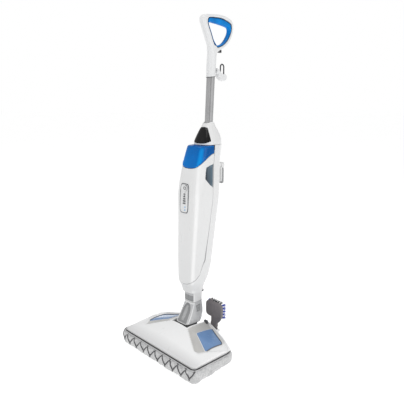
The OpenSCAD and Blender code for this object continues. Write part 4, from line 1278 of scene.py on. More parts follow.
def foot_cover():
    XS = [0, 19, 38, 56, 76, 100, 124, 148, 168, 178]

    def vs(i, ax):
        a = lin(ax, [(0, 0.505), (38, 0.505), (76, 0.578), (148, 0.466), (178, 0.44)])
        b = lin(ax, [(76, 0.92), (148, 0.886), (178, 0.87)])
        T = [0, 0.03, 0.16, 0.32, a, (a + b) / 2, b, 0.975, 1]
        k = min(int(i), 7)
        return mix(T[k], T[k + 1], i - k)

    U = [0, 0.05, 0.12, 0.22, 0.36, 0.55, 0.8] + steps(1, 7, [4, 6], 0.04, 0.085) + [7.15, 7.3, 7.45, 7.58, 7.7, 7.8, 7.88, 7.94, 7.98, 8]
    W = [0, 0.08, 0.18, 0.3, 0.45, 0.65] + steps(0.85, 17.15, [7, 11], 0.07, 0.15) + [17.35, 17.55, 17.7, 17.82, 17.92, 18]

    def xs(j):
        s = -1 if j < 9 else 1
        q = abs(j - 9)
        k = min(int(q), 8)
        return s * mix(XS[k], XS[k + 1], q - k)

    def plan(i, j):
        x0 = xs(j)
        y = mix(-FF, rear_y(abs(x0)), vs(i, abs(x0)))
        x = x0 * half_w(y) / FW
        cx, cy = FW - 16, 16 - FF
        qx, qy = (abs(x) - cx) / 16, (cy - y) / 16
        if qx > 0 and qy > 0:
            kk = max(qx, qy) / math.hypot(qx, qy)
            x, y = math.copysign(cx + 16 * qx * kk, x), cy - 16 * qy * kk
        return x, y

    def S(i, j):
        u, w = U[i], W[j]
        x, y = plan(u, w)
        z = foot_z(x, y)
        e = min(u / 1.0 * 6.5, w * 10, (18 - w) * 10, (8 - u) * 5.4)
        g = math.sqrt(max(0.0, 1 - (1 - cl(e / 4.2)) ** 2)) if e < 4.2 else 1.0
        lo = rim(y)
        return (x, y, lo + max(z - lo, 1.2) * g)

    def keep(i, j):
        x, y = plan((U[i] + U[i + 1]) / 2, (W[j] + W[j + 1]) / 2)
        u = (U[i] + U[i + 1]) / 2
        w = (W[j] + W[j + 1]) / 2
        if 7 < w < 11 and u > 4:
            return False
        return True

    def pick(i, j):
        u, w = (U[i] + U[i + 1]) / 2, (W[j] + W[j + 1]) / 2
        x, y = plan(u, w)
        p = pocket(x, y)
        if p <= 0.0 or u > 7.2:
            return 0
        # the slope beside the neck and the floor behind it are marked as painted shade, the outer shelf stays white
        ax = abs(x)
        if ax < 80 or (y + 78) < (142 - ax) * 0.74 or p < 0.92:
            d = (ax - 142) * 0.9066 - (y + 78) * 0.42
            return 0 if (d > -32 and y < 40 and ax > 100) else 1
        return 0

    ob = shell("foot_shell", S, len(U) - 1, len(W) - 1, FOOT, t=2.4, keep=keep, rim=0.7, segs=2, deg=28,
               inside=(0, -0.02, -0.3))
    # weight of painted shade on the pocket walls, kept off the outer shelf and weaker behind the window
    at = ob.data.attributes.new("painted_pocket_shade", "FLOAT", "POINT")
    vals = []
    for v in ob.data.vertices:
        x, y = abs(v.co.x * 1000), v.co.y * 1000
        p = pocket(x, y)
        xb = lin(y, [(-80, 128), (-44, 147), (37, 151), (62, 151)])
        shelf = smooth((xb - x) / 5 + 0.5)
        behind = smooth((y - (63 - (x - 78) * 0.36) + 1) / 5)
        vals.append(smooth(p / 0.14) * shelf * (1 - 0.55 * behind))
    at.data.foreach_set("value", vals)
    place(ob, "foot", "foot_cover")


def window_plan():
    return [(74, -12), (146, -44), (150, 37), (78, 63)]


def windows():
    obs, frames_, shadow_cords = [], [], []
    for s in (-1, 1):
        nu, nv = 26, 22
        P = window_plan()

        def corner(u, v, grow=0.0):
            # rounded square mapped to the four corners
            a, b = 2 * u - 1, 2 * v - 1
            n = 16.0
            m = (abs(a) ** n + abs(b) ** n) ** (1 / n)
            k = max(abs(a), abs(b)) / m if m > 0 else 1
            a, b = a * k * (1 + grow), b * k * (1 + grow)
            uu, vv = (a + 1) / 2, (b + 1) / 2
            x = mix(mix(P[0][0], P[1][0], uu), mix(P[3][0], P[2][0], uu), vv)
            y = mix(mix(P[0][1], P[1][1], uu), mix(P[3][1], P[2][1], uu), vv)
            return x, y

        def S(i, j, grow=0.02, lift=0.0):
            x, y = corner(i / nu, j / nv, grow)
            crown = 1.6 * (1 - (2 * i / nu - 1) ** 2) * (1 - (2 * j / nv - 1) ** 2)
            return (s * x, y, zt(x, y) - 6.9 + crown + lift)

        ob = shell(f"window_{s}", S, nu, nv, WINDOW, t=2.2, rim=0.6, segs=3, inside=(0, 0, -0.3))
        obs.append(ob)
        fr = shell(f"window_frame_{s}", lambda i, j: S(i, j, 0.085, -0.9 - 1.6 * (1 - (2 * i / nu - 1) ** 2) * (1 - (2 * j / nv - 1) ** 2)), nu, nv, WHITE if s else WHITE,
                   t=2.0, rim=0.6, inside=(0, 0, -0.3))
        frames_.append(fr)
        # dark cord along the outer and rear edges: painted shadow on the pocket's rear wall
        edge = [corner(1.0, 0.08 + 0.86 * q / 20, 0.05) for q in range(21)]
        edge += [corner(0.94 - 0.9 * q / 20, 1.0, 0.05) for q in range(21)]
        pts = catmull([(s * x, y, zt(x, y) - 6.2) for x, y in edge], 2, closed=False)
        shadow_cords.append(tube_path(f"window_shadow_cord_{s}", pts, 1.25, LINE, k=8))
    ob = join(obs, "foot_windows")
    place(ob, "foot", "windows")
    ob = join(frames_, "window_seats")
    place(ob, "foot", "window_trays")
    place(join(shadow_cords, "window_shadow_cords"), "foot", slot="dark_plastic")


PL = [(-FW, -FF, 12), (FW, -FF, 12), (FW + 8, 38, 28), (120, 67, 90), (40, 82, 60), (-40, 82, 60), (-120, 67, 90), (-FW - 8, 38, 28)]


def outline(d, per=6):
    out = []
    for i in range(8):
        a, p, b = PL[(i + 7) % 8], PL[i], PL[(i + 1) % 8]

        def en(u, v):
            q = Vector((v[1] - u[1], u[0] - v[0]))
            return q.normalized()

        n1, n2 = en(a, p), en(p, b)
        m = (n1 + n2) / (1 + n1.dot(n2))
        c = Vector((p[0], p[1])) - m * p[2]
        a1 = math.atan2(n1.y, n1.x)
        da = math.atan2(n1.x * n2.y - n1.y * n2.x, n1.dot(n2))
        for k in range(per + 1):
            t = a1 + da * k / per
            out.append((c.x + (p[2] + d) * math.cos(t), c.y + (p[2] + d) * math.sin(t)))
    return out


def resample(P, n, start=0.0):
    """n points evenly along a closed outline."""
    L = [0.0]
    for a, b in zip(P, P[1:] + P[:1]):
        L.append(L[-1] + math.hypot(b[0] - a[0], b[1] - a[1]))
    out, k = [], 0
    for i in range(n):
        s = (i / n + start) % 1.0 * L[-1]
        k = 0
        while L[k + 1] < s:
            k += 1
        a, b = P[k], P[(k + 1) % len(P)]
        q = (s - L[k]) / max(1e-9, L[k + 1] - L[k])
        out.append((mix(a[0], b[0], q), mix(a[1], b[1], q)))
    return out


def ring_of(d, n=280):
    base = resample(outline(0, 16), n)
    # offset outwards by d along the outline's own normal
    out = []
    for i in range(n):
        a, b = base[i - 1], base[(i + 1) % n]
        t = Vector((b[0] - a[0], b[1] - a[1])).normalized()
        out.append((base[i][0] + t.y * d, base[i][1] - t.x * d))
    return out


def edge_line():
    """Soft grey lip under the rim of the foot."""
    n = 280
    prof = [(-3.2, -0.5), (0.2, -0.45), (1.6, -0.7), (2.2, -1.5), (1.8, -2.5), (0.6, -2.9), (-3.2, -2.9)]
    rings = [ring_of(d, n) for d, _ in prof]
    V, F = [], []
    for (d, dz), R in zip(prof, rings):
        for p in R:
            V.append((p[0], p[1], rim(p[1]) + dz))
    m = len(prof)
    for i in range(m):
        for j in range(n):
            p = ring_of(0, n)[j] if False else None
            a, b = i * n + j, i * n + (j + 1) % n
            c, d = ((i + 1) % m) * n + (j + 1) % n, ((i + 1) % m) * n + j
            x, y = V[a][0], V[a][1]
            if y > 60 and abs(x) < 37:
                continue
            F.append((a, b, c, d))
    ob = obj_from("edge_lip", V, F, LIP)
    bm = bmesh.new()
    bm.from_mesh(ob.data)
    bmesh.ops.delete(bm, geom=[v for v in bm.verts if not v.link_faces], context="VERTS")
    bmesh.ops.holes_fill(bm, edges=[e for e in bm.edges if e.is_boundary], sides=0)
    bmesh.ops.recalc_face_normals(bm, faces=bm.faces)
    sharpen(bm, 40)
    bm.to_mesh(ob.data)
    bm.free()
    place(ob, "foot", "edge_gasket")


# ------------------------------------------------------------------ pad
PAD_OUT, PAD_H, SOLE = 13.0, 47.0, 11.2
pad_top = lambda y: PAD_H + rim(y) - FZ


def pad():
    n = 240
    inner = ring_of(0.9, n)
    prof = [(3.0, 0.0), (8.0, 0.0), (11.0, 0.06), (12.6, 0.2), (13.0, 0.42), (12.6, 0.62), (11.2, 0.8), (8.6, 0.93), (6.0, 0.985), (3.6, 1.0), (1.4, 0.99), (0.9, 0.94)]
    V, F = [], []
    for d, q in prof:
        for p in ring_of(d, n):
            V.append((p[0], p[1], q * pad_top(p[1])))
    for p in inner:
        V.append((p[0], p[1], SOLE))
    rows = len(prof) + 1
    for i in range(rows - 1):
        for j in range(n):
            a, b = i * n + j, i * n + (j + 1) % n
            F.append((a, b, b + n, a + n))
    V.append((0, -30, SOLE))
    c = len(V) - 1
    for j in range(n):
        F.append(((rows - 1) * n + j, (rows - 1) * n + (j + 1) % n, c))
    V.append((0, -30, 0))
    c2 = len(V) - 1
    for j in range(n):
        F.append(((j + 1) % n, j, c2))
    ob = obj_from("mop_cloth", V, F, PAD)
    bm = bmesh.new()
    bm.from_mesh(ob.data)
    bmesh.ops.recalc_face_normals(bm, faces=bm.faces)
    bm.to_mesh(ob.data)
    bm.free()
    remesh(ob, 4.5, rounds=2)
    me = ob.data
    # how far each point is outside the foot's outline, from a dense ring
    R = np.array(ring_of(0, 560))
    Rn = np.roll(R, -1, 0) - np.roll(R, 1, 0)
    Rn /= np.linalg.norm(Rn, axis=1)[:, None]
    Nn = np.stack([Rn[:, 1], -Rn[:, 0]], 1)

    def outside(P):
        D = ((P[:, None, :2] - R[None]) ** 2).sum(2)
        k = D.argmin(1)
        return ((P[:, :2] - R[k]) * Nn[k]).sum(1), k

    co = np.empty(len(me.vertices) * 3)
    me.vertices.foreach_get("co", co)
    P0 = co.reshape(-1, 3) * 1000
    o0, _ = outside(P0)
    g = ob.vertex_groups.new(name="pin")
    for i, (p, o) in enumerate(zip(P0, o0)):
        w = 1.0 if (o < 2.0 or p[2] < 1.0) else 0.0
        if w:
            g.add([i], w, "REPLACE")
    bpy.context.view_layer.objects.active = ob
    cm = ob.modifiers.new("cloth", "CLOTH")
    st = cm.settings
    st.quality = 5
    st.mass = 0.3
    st.tension_stiffness = 12
    st.compression_stiffness = 12
    st.shear_stiffness = 5
    st.bending_stiffness = 0.5
    st.use_pressure = True
    st.uniform_pressure_force = 4.0
    st.vertex_group_mass = "pin"
    st.effector_weights.gravity = 0.0
    st.shrink_min = -0.05
    cm.collision_settings.use_collision = False
    cm.collision_settings.use_self_collision = False
    cm.point_cache.frame_start, cm.point_cache.frame_end = 1, 20
    for f in range(1, 21):
        scene.frame_set(f)
    bake(ob, 80, outward=False)
    scene.frame_set(1)
    me = ob.data
    co = np.empty(len(me.vertices) * 3)
    me.vertices.foreach_get("co", co)
    P1 = co.reshape(-1, 3) * 1000
    move = P1 - P0
    ln = np.linalg.norm(move, axis=1)
    cap = 5.0
    f = np.where(ln > cap, cap / np.maximum(ln, 1e-6), 1.0)
    P = P0 + move * f[:, None]
    # keep the wall inside its space, the sole flat and the pocket clear of the foot
    o, k = outside(P)
    nrm = np.empty(len(me.vertices) * 3)
    me.vertices.foreach_get("normal", nrm)
    nrm = nrm.reshape(-1, 3)
    top = np.array([pad_top(y) for y in P[:, 1]])
    for i in range(len(P)):
        x, y, z = P[i]
        if o[i] > 3:
            # stitched pinches under the lace along the front, soft folds elsewhere
            h = cl(z / top[i])
            side = h * (1 - h) * 4
            fold = noise.noise(Vector((x * 0.035, y * 0.035, z * 0.02))) * 2.2 + noise.noise(Vector((x * 0.11, y * 0.11, z * 0.06))) * 1.1
            if y < -FF + 4:
                fold = fold * 0.5 + 0.9 * math.cos(x / 38 * 2 * math.pi) * side
            else:
                s = (x if abs(y) > 60 else y)
                fold = fold * 1.25 + 0.8 * math.cos((x + y) / 26 * 2 * math.pi) * side
            P[i] += nrm[i] * fold * smooth((o[i] - 3) / 4) * (0.35 + 0.65 * side)
    o, k = outside(P)
    lim = PAD_OUT + 2.6
    over = np.maximum(o - lim, 0)
    P[:, :2] -= Nn[k] * over[:, None]
    under = (o < 0.7) & (P[:, 2] > SOLE - 1.5)
    flat = under & (P[:, 2] < SOLE + 3)
    P[flat, 2] = np.minimum(P[flat, 2], SOLE - 0.2)
    wall = under & ~flat
    P[wall, :2] += Nn[k][wall] * (0.75 - o[wall])[:, None]
    P[:, 2] = np.maximum(P[:, 2], 0.0)
    P[:, 2] = np.minimum(P[:, 2], np.where(o > 1.0, top + 1.4, 99))
    P[:, 2] = np.minimum(P[:, 2], np.where(o > 1.0, np.array([rim(y) for y in P[:, 1]]) - 3.2, 99))
    me.vertices.foreach_set("co", (P / 1000).ravel())
    me.update()
    mod(ob, "SUBSURF", levels=1, render_levels=1)
    bake(ob, 80, outward=False)
    # the back edge dips behind the neck
    m = mod(ob, "BOOLEAN", operation="DIFFERENCE", solver="EXACT")
    bm = bmesh.new()
    bmesh.ops.create_cube(bm, size=1.0)
    for v in bm.verts:
        v.co = Vector((v.co.x * 0.074, 0.080 + v.co.y * 0.060, 0.044 + v.co.z * 0.040))
    bmesh.ops.bevel(bm, geom=bm.edges[:], offset=0.004, segments=3, affect="EDGES")
    cm_ = bpy.data.meshes.new("notch")
    bm.to_mesh(cm_)
    bm.free()
    co_ = bpy.data.objects.new("notch", cm_)
    scene.collection.objects.link(co_)
    m.object = co_
    bake(ob, 80, outward=False)
    bpy.data.objects.remove(co_)
    place(ob, "foot", "mop_pad")

    # lace and binding lie on the finished cloth
    bm = bmesh.new()
    bm.from_mesh(ob.data)
    tree = BVHTree.FromBMesh(bm)
    LN = 20

    RL = ring_of(PAD_OUT + 2.4, 1200)
    cum = [0.0]
    for a_, b_ in zip(RL, RL[1:] + RL[:1]):
        cum.append(cum[-1] + math.hypot(b_[0] - a_[0], b_[1] - a_[1]))
    mid_i = min(range(1200), key=lambda q: abs(RL[q][0]) + (1e4 if RL[q][1] > 0 else 0))

    def lace_pt(i):
        kk = i - LN / 2
        sarc = (cum[mid_i] + kk * 19.0) % cum[-1]
        lo_, hi_ = 0, 1200
        while hi_ - lo_ > 1:
            m_ = (lo_ + hi_) // 2
            if cum[m_] <= sarc:
                lo_ = m_
            else:
                hi_ = m_
        x, y = RL[lo_ % 1200]
        return Vector((x, y, pad_top(y) - 4 if i % 2 == 0 else 17))

    def on_cloth(p, off):
        inner_ = Vector((cl(p.x, -FW + 30, FW - 30), cl(p.y, -FF + 30, 20), p.z)) / 1000
        q = p / 1000
        d = (inner_ - q)
        d.z = 0
        d.normalize()
        hit = tree.ray_cast(q - d * 0.03, d, 0.09)
        if hit[0] is None:
            return p
        return (hit[0] - d * off * 0.001) * 1000

    cords = []
    pts = []
    for i in range(LN):
        a, b = lace_pt(i), lace_pt(i + 1)
        for s in range(9):
            q = s / 9
            bow = 0.12 * math.sin(q * math.pi * 2)
            p = a.lerp(b, cl(q + bow * 0.5))
            pts.append(on_cloth(p, 0.5))
    pts.append(on_cloth(lace_pt(LN), 0.5))
    for _ in range(2):
        pts = [pts[0]] + [(pts[i - 1] + pts[i] * 2 + pts[i + 1]) / 4 for i in range(1, len(pts) - 1)] + [pts[-1]]
    cords.append(tube_path("lace_run", pts, 2.0, LACE, k=8))
    # small stitched loops where the lace turns
    for i in range(LN + 1):
        p = on_cloth(lace_pt(i), 0.6)
        up = 1 if i % 2 == 0 else -1
        q0, q1 = lace_pt(max(i - 0.2, 0)), lace_pt(min(i + 0.2, LN))
        side_ = Vector(((q1 - q0).x, (q1 - q0).y, 0))
        side_ = side_.normalized() if side_.length > 1e-6 else Vector((1, 0, 0))
        nrm_ = Vector((side_.y, -side_.x, 0))
        c0 = p + Vector((0, 0, 1.6 * up))
        ring_ = [c0 + side_ * (2.3 * math.cos(t)) + Vector((0, 0, 3.0 * math.sin(t))) + nrm_ * 0.4 for t in [2 * math.pi * q / 14 for q in range(14)]]
        cords.append(tube_path(f"lace_loop_{i}", ring_, 0.75, LACE, k=6, closed=True))
    lace = join(cords, "lace_cord")
    place(lace, "foot", "pad_lace")
    # elastic binding round the mouth of the pad
    N = 420
    R2 = ring_of(7.2, N)
    pts = []
    for j, p in enumerate(R2):
        if p[1] > 55 and abs(p[0]) < 40:
            if pts and len(pts) > 5:
                break
            continue
        pts.append((j, p))
    start = next((j for j in range(N) if R2[j][1] > 55 and abs(R2[j][0]) < 40 and not (R2[(j + 1) % N][1] > 55 and abs(R2[(j + 1) % N][0]) < 40)), 0)
    run = []
    for q in range(1, N):
        p = R2[(start + q) % N]
        if p[1] > 55 and abs(p[0]) < 40:
            break
        zz = min(pad_top(p[1]) + 0.9, rim(p[1]) - 3.0 - 1.6)
        run.append(Vector((p[0], p[1], zz + 0.25 * math.sin(q * 0.9))))
    b = tube_path("binding_cord", run, 1.9, BIND, k=10, squash=0.8)
    place(b, "foot", "pad_binding")
    bm.free()


# ------------------------------------------------------------------ bell and neck
BL = [(95, -18.0, 62, 31, 83), (104, -11.5, 66, 30.8, 96), (118, -1, 72, 30, 114), (136, 10, 74, 28.5, 134), (152, 19, 74, 27, 151), (165, 23.5, 74, 26, 165)]
blf, blr, blw, blh = (Curve([(i, b[k]) for i, b in enumerate(BL)]) for k in (1, 2, 3, 4))
blz = Curve([(i, b[0]) for i, b in enumerate(BL)])


def bell_pt(u, t, d=0.0):
    c = sc(t, 4.5)
    d = d - (1 - c) / 2 * lin(u, [(0, 0.3), (0.9, 3.0), (2.3, 2.6), (4, 0)]) * abs(ss(t, 4.5))
    return ((blw(u) - d) * ss(t, 4.5), (blf(u) + blr(u)) / 2 - ((blr(u) - blf(u)) / 2 - d) * c, mix(blz(u), blh(u), (1 - c) / 2))


def bell_face(x, h):
    """Depth of the arched panel (0 to 1) and distance from its long raised drop."""
    wdt = mix(25.5, 19.0, h)
    ax = abs(x) / wdt
    top = 0.93 - 0.36 * ax ** 2.6
    m = smooth((top - h) / 0.05) * smooth((1 - ax) / 0.12) * smooth((h - 0.02) / 0.03)
    return m, (x / 8.0) ** 2 + ((h - 0.47) / 0.36) ** 2


def bell():
    nu, nv = 90, 264

    def S(i, j):
        u, t = 5 * i / nu, 360 * j / nv
        tt = t if t <= 180 else t - 360
        h = u / 5
        d = 0.0
        # arched panel in the front face
        x = (blw(u)) * ss(t, 4.5)
        if abs(tt) < 46:
            m, q = bell_face(x, h)
            d += 2.3 * m
            d -= 2.4 * m * smooth((1.1 - q) / 0.4)
        # a shallow waist line above the arch
        d += 0.5 * math.exp(-((h - 0.9) / 0.03) ** 2)
        return bell_pt(u, t, d)

    # material per face: bell_shade paints shade into the arched panel, bell_mid a lighter shade on its raised drop, the
    # paler copy paints highlight on the panel rim, the top band and the upright corners
    def tone(i, j):
        u, t = 5 * (i + 0.5) / nu, 360 * (j + 0.5) / nv
        tt = t if t <= 180 else t - 360
        if abs(tt) < 46:
            x = blw(u) * ss(t, 4.5)
            m, q = bell_face(x, u / 5)
            if m > 0.55:
                return 3 if q < 0.9 else 1
            if abs(x) > blw(u) * 0.9 or m > 0.02 or u / 5 > 0.9:
                return 2
        elif abs(tt) < 60:
            return 2
        return 0

    ob = shell("bell_cover", S, nu, nv, [BELL, BELL_DK, BELL_HIGHLIGHT, BELL_MID], t=2.2, wrap=True, rim=0.8, segs=3, inside=(0, 0.035, 0.12), pick=tone)

    parts = [ob]
    # a small raised plate with three slots on each flank
    for s in (-1, 1):
        for q, (yy, z, wy, wz) in enumerate(((44, 151, 10.5, 1.3), (44, 130, 9.5, 1.3), (37.5, 140.5, 1.2, 9.5), (50.5, 140.5, 1.2, 9.5), (44, 140.5, 1.2, 6.5))):
            o = prism(f"flank_bar_{s}_{q}", superloop(wy, wz, 5, 32, yy, z), lambda a, b, c, s=s: (s * (lin(b, [(118, 31.6), (136, 29.9), (152, 27.6)]) - 1.1 + c), a, b), 2.2, BELL_DK, rim=0.4)
            parts.append(o)
    ob = join(parts, "bell_cover")
    place(ob, "upper", "yoke_shell")


def well():
    """Walls and ledge round the neck opening in the foot."""
    L = resample([(-37.4, 74), (-37.4, -18), (-33, -23.6), (33, -23.6), (37.4, -18), (37.4, 74)], 120)
    n = 60
    pts = [(-37.3, mix(74, -16, i / 18)) for i in range(19)]
    pts += [(-37.3 + 7 * (1 - math.cos(math.radians(90 * i / 8))), -16 - 7.3 * math.sin(math.radians(90 * i / 8))) for i in range(1, 9)]
    pts += [(mix(-30.3, 30.3, i / 14), -23.3) for i in range(1, 15)]
    pts += [(37.3 - 7 * (1 - math.cos(math.radians(90 * i / 8))), -16 - 7.3 * math.sin(math.radians(90 * i / 8))) for i in range(7, -1, -1)]
    pts += [(37.3, mix(-16, 74, i / 18)) for i in range(1, 19)]
    rows = [(0.0, 1.0), (0.0, 0.6), (0.0, 0.3), (0.4, 0.12), (1.6, 0.02), (4.6, 0.0)]

    def S(i, j):
        inn, h = rows[i]
        x, y = pts[j]
        k = (abs(x) + 1e-6)
        cx, cy = cl(x, -20, 20), max(y, 10)
        dx, dy = cx - x, cy - y
        m = math.hypot(dx, dy) or 1
        inn *= smooth((2 - y) / 8) * smooth((34 - abs(x)) / 5)
        x2, y2 = x + dx / m * inn, y + dy / m * inn
        top = zt(x, y) - 2.6
        low = mix(66, top - 8, smooth((-8 - y) / 8) * smooth((28 - abs(x)) / 8))
        return (x2, y2, mix(low, top, h))

    ob = shell("neck_well", S, len(rows) - 1, len(pts) - 1, WELL, t=1.2, rim=0, inside=lambda c: Vector((c.x * 2, c.y * 2 - 0.03, c.z)))
    place(ob, "foot", slot="grey_plastic")


def neck():
    nu, nv = 26, 120

    def S(i, j):
        z = mix(166, 203.5, i / nu)
        t = 360 * j / nv
        q = (z - 166) / 46
        yf, yr = mix(23.5, 24.5, q), mix(74.5, 77, q)
        w = 26 - 0.5 * math.exp(-((z - 168) / 1.5) ** 2)
        # a shallow panel on each flank
        d = 0.0
        tt = abs(t if t <= 180 else t - 360)
        if 60 < tt < 120:
            d = 0.9 * smooth((30 - abs(tt - 90)) / 6) * smooth((z - 170) / 2) * smooth((201 - z) / 2)
        return ((w - d) * ss(t, 4), (yf + yr) / 2 - ((yr - yf) / 2) * sc(t, 4), z)

    ob = shell("neck_collar", S, nu, nv, WHITE, t=2.2, wrap=True, rim=0.7, segs=3, inside=(0, 0.05, 0.185))
    place(ob, "upper", "neck_sleeve")
    nu2, nv2 = 16, 34

    def T(i, j):
        z = mix(169.5, 201.5, lin(i, [(0, 0), (10, 0.66), (11, 0.685), (16, 1)]))
        t = -42 + 84 * j / nv2
        dd = 0.35 * smooth((i - 10) / 1.0)
        return ((27.2 + dd) * ss(t, 4), 49.5 - (27.4 + dd) * sc(t, 4), z)

    ob = shell("neck_front_panel", T, nu2, nv2, [BELL_DK, BELL, LINE], t=1.1, rim=0.5, segs=2, inside=(0, 0.05, 0.185),
               pick=lambda i, j: 0 if i < 10 else (2 if i == 10 else 1))
    place(ob, "upper", "neck_insert")


# ------------------------------------------------------------------ hooks
def hooks():
    # lower hook: arm out of the housing, cap, and a dark grip bar
    bar = prism("hook_bar", superloop(9, 36, 7, 64, 0, 624), lambda a, b, c: (a, 191.5 + c, b), 5.0, WHITE, rim=2.0, segs=4)
    cap = prism("hook_cap", superloop(13.8, 10, 5, 64, 0, 650), lambda a, b, c: (a, 190 + c, b), 13.6, WHITE, rim=3.0, segs=4)
    arm = prism("hook_arm", superloop(9, 7, 5, 48, 0, 653), lambda a, b, c: (a, 154 + c, b), 42, WHITE, rim=0.8)
    ob = join([bar, cap, arm], "cord_hook_low")
    remesh(ob, 1.0, rounds=4)
    place(ob, "upper", "cord_hook_lower")
    o = prism("hook_grip", superloop(9.4, 30, 6, 72, 0, 611), lambda a, b, c: (a, 196.3 + c, b), 9.2, BELL_DK, rim=2.2, segs=4)
    ribs = [prism(f"hook_rib_{q}", superloop(5.2, 0.9, 3, 24, 0, 598 + 7 * q), lambda a, b, c: (a, 205.2 + c, b), 1.2, DARK, rim=0.35) for q in range(6)]
    o = join([o] + ribs, "hook_grip")
    place(o, "upper", "hook_tip")
    # upper hook: turned boss, sloping arm and rounded seat
    P = [(168, 7), (169.5, -12), (184, -27), (201, -32), (212.5, -27), (215.5, -15), (207, -8), (192, -8), (177.5, 3)]
    loop_ = catmull(P, 6)
    body = prism("turn_hook", loop_, lambda a, b, c: (-8.9 + c, a, 978 + b), 17.8, WHITE_HANDLE, rim=3.4, segs=5)
    boss = tube_path("turn_hook_boss", [(0, 162.4, 978), (0, 163.4, 978), (0, 170, 978), (0, 171, 978)],
                     lambda s: 9.2 if s in (0, 1) else 10.0, WHITE_HANDLE, k=56)
    ob = join([body, boss], "turn_hook")
    remesh(ob, 1.0, rounds=6)
    cut_hole(ob, (0, 160, 978), (0, 172, 978), 3.1, k=40)
    place(ob, "cord_hook_upper", "cord_hook_upper")
    pts = [(0, 190, 966), (0, 190, 980), (0, 190, 992)]
    for i in range(1, 16):
        a = math.pi * i / 16
        pts.append((0, 199 - 9 * math.cos(a), 993.2 + 9 * math.sin(a)))
    pts += [(0, 208, 992), (0, 208, 980), (0, 208, 966)]
    o = tube_path("wire_loop", pts, 2.4, DARK, k=14)
    place(o, "cord_hook_upper", "cord_loop")
    # cord clip under the handle
    prof = [(177, 1053), (177, 1039), (191, 1039), (191, 1049), (188.5, 1049), (188.5, 1041.5), (180, 1041.5), (180, 1053)]
    o = prism("cord_clip_hook", prof, lambda a, b, c: (-4 + c, a, b), 8, DARK, rim=0.9, segs=3)
    place(o, "upper", "cord_clip")


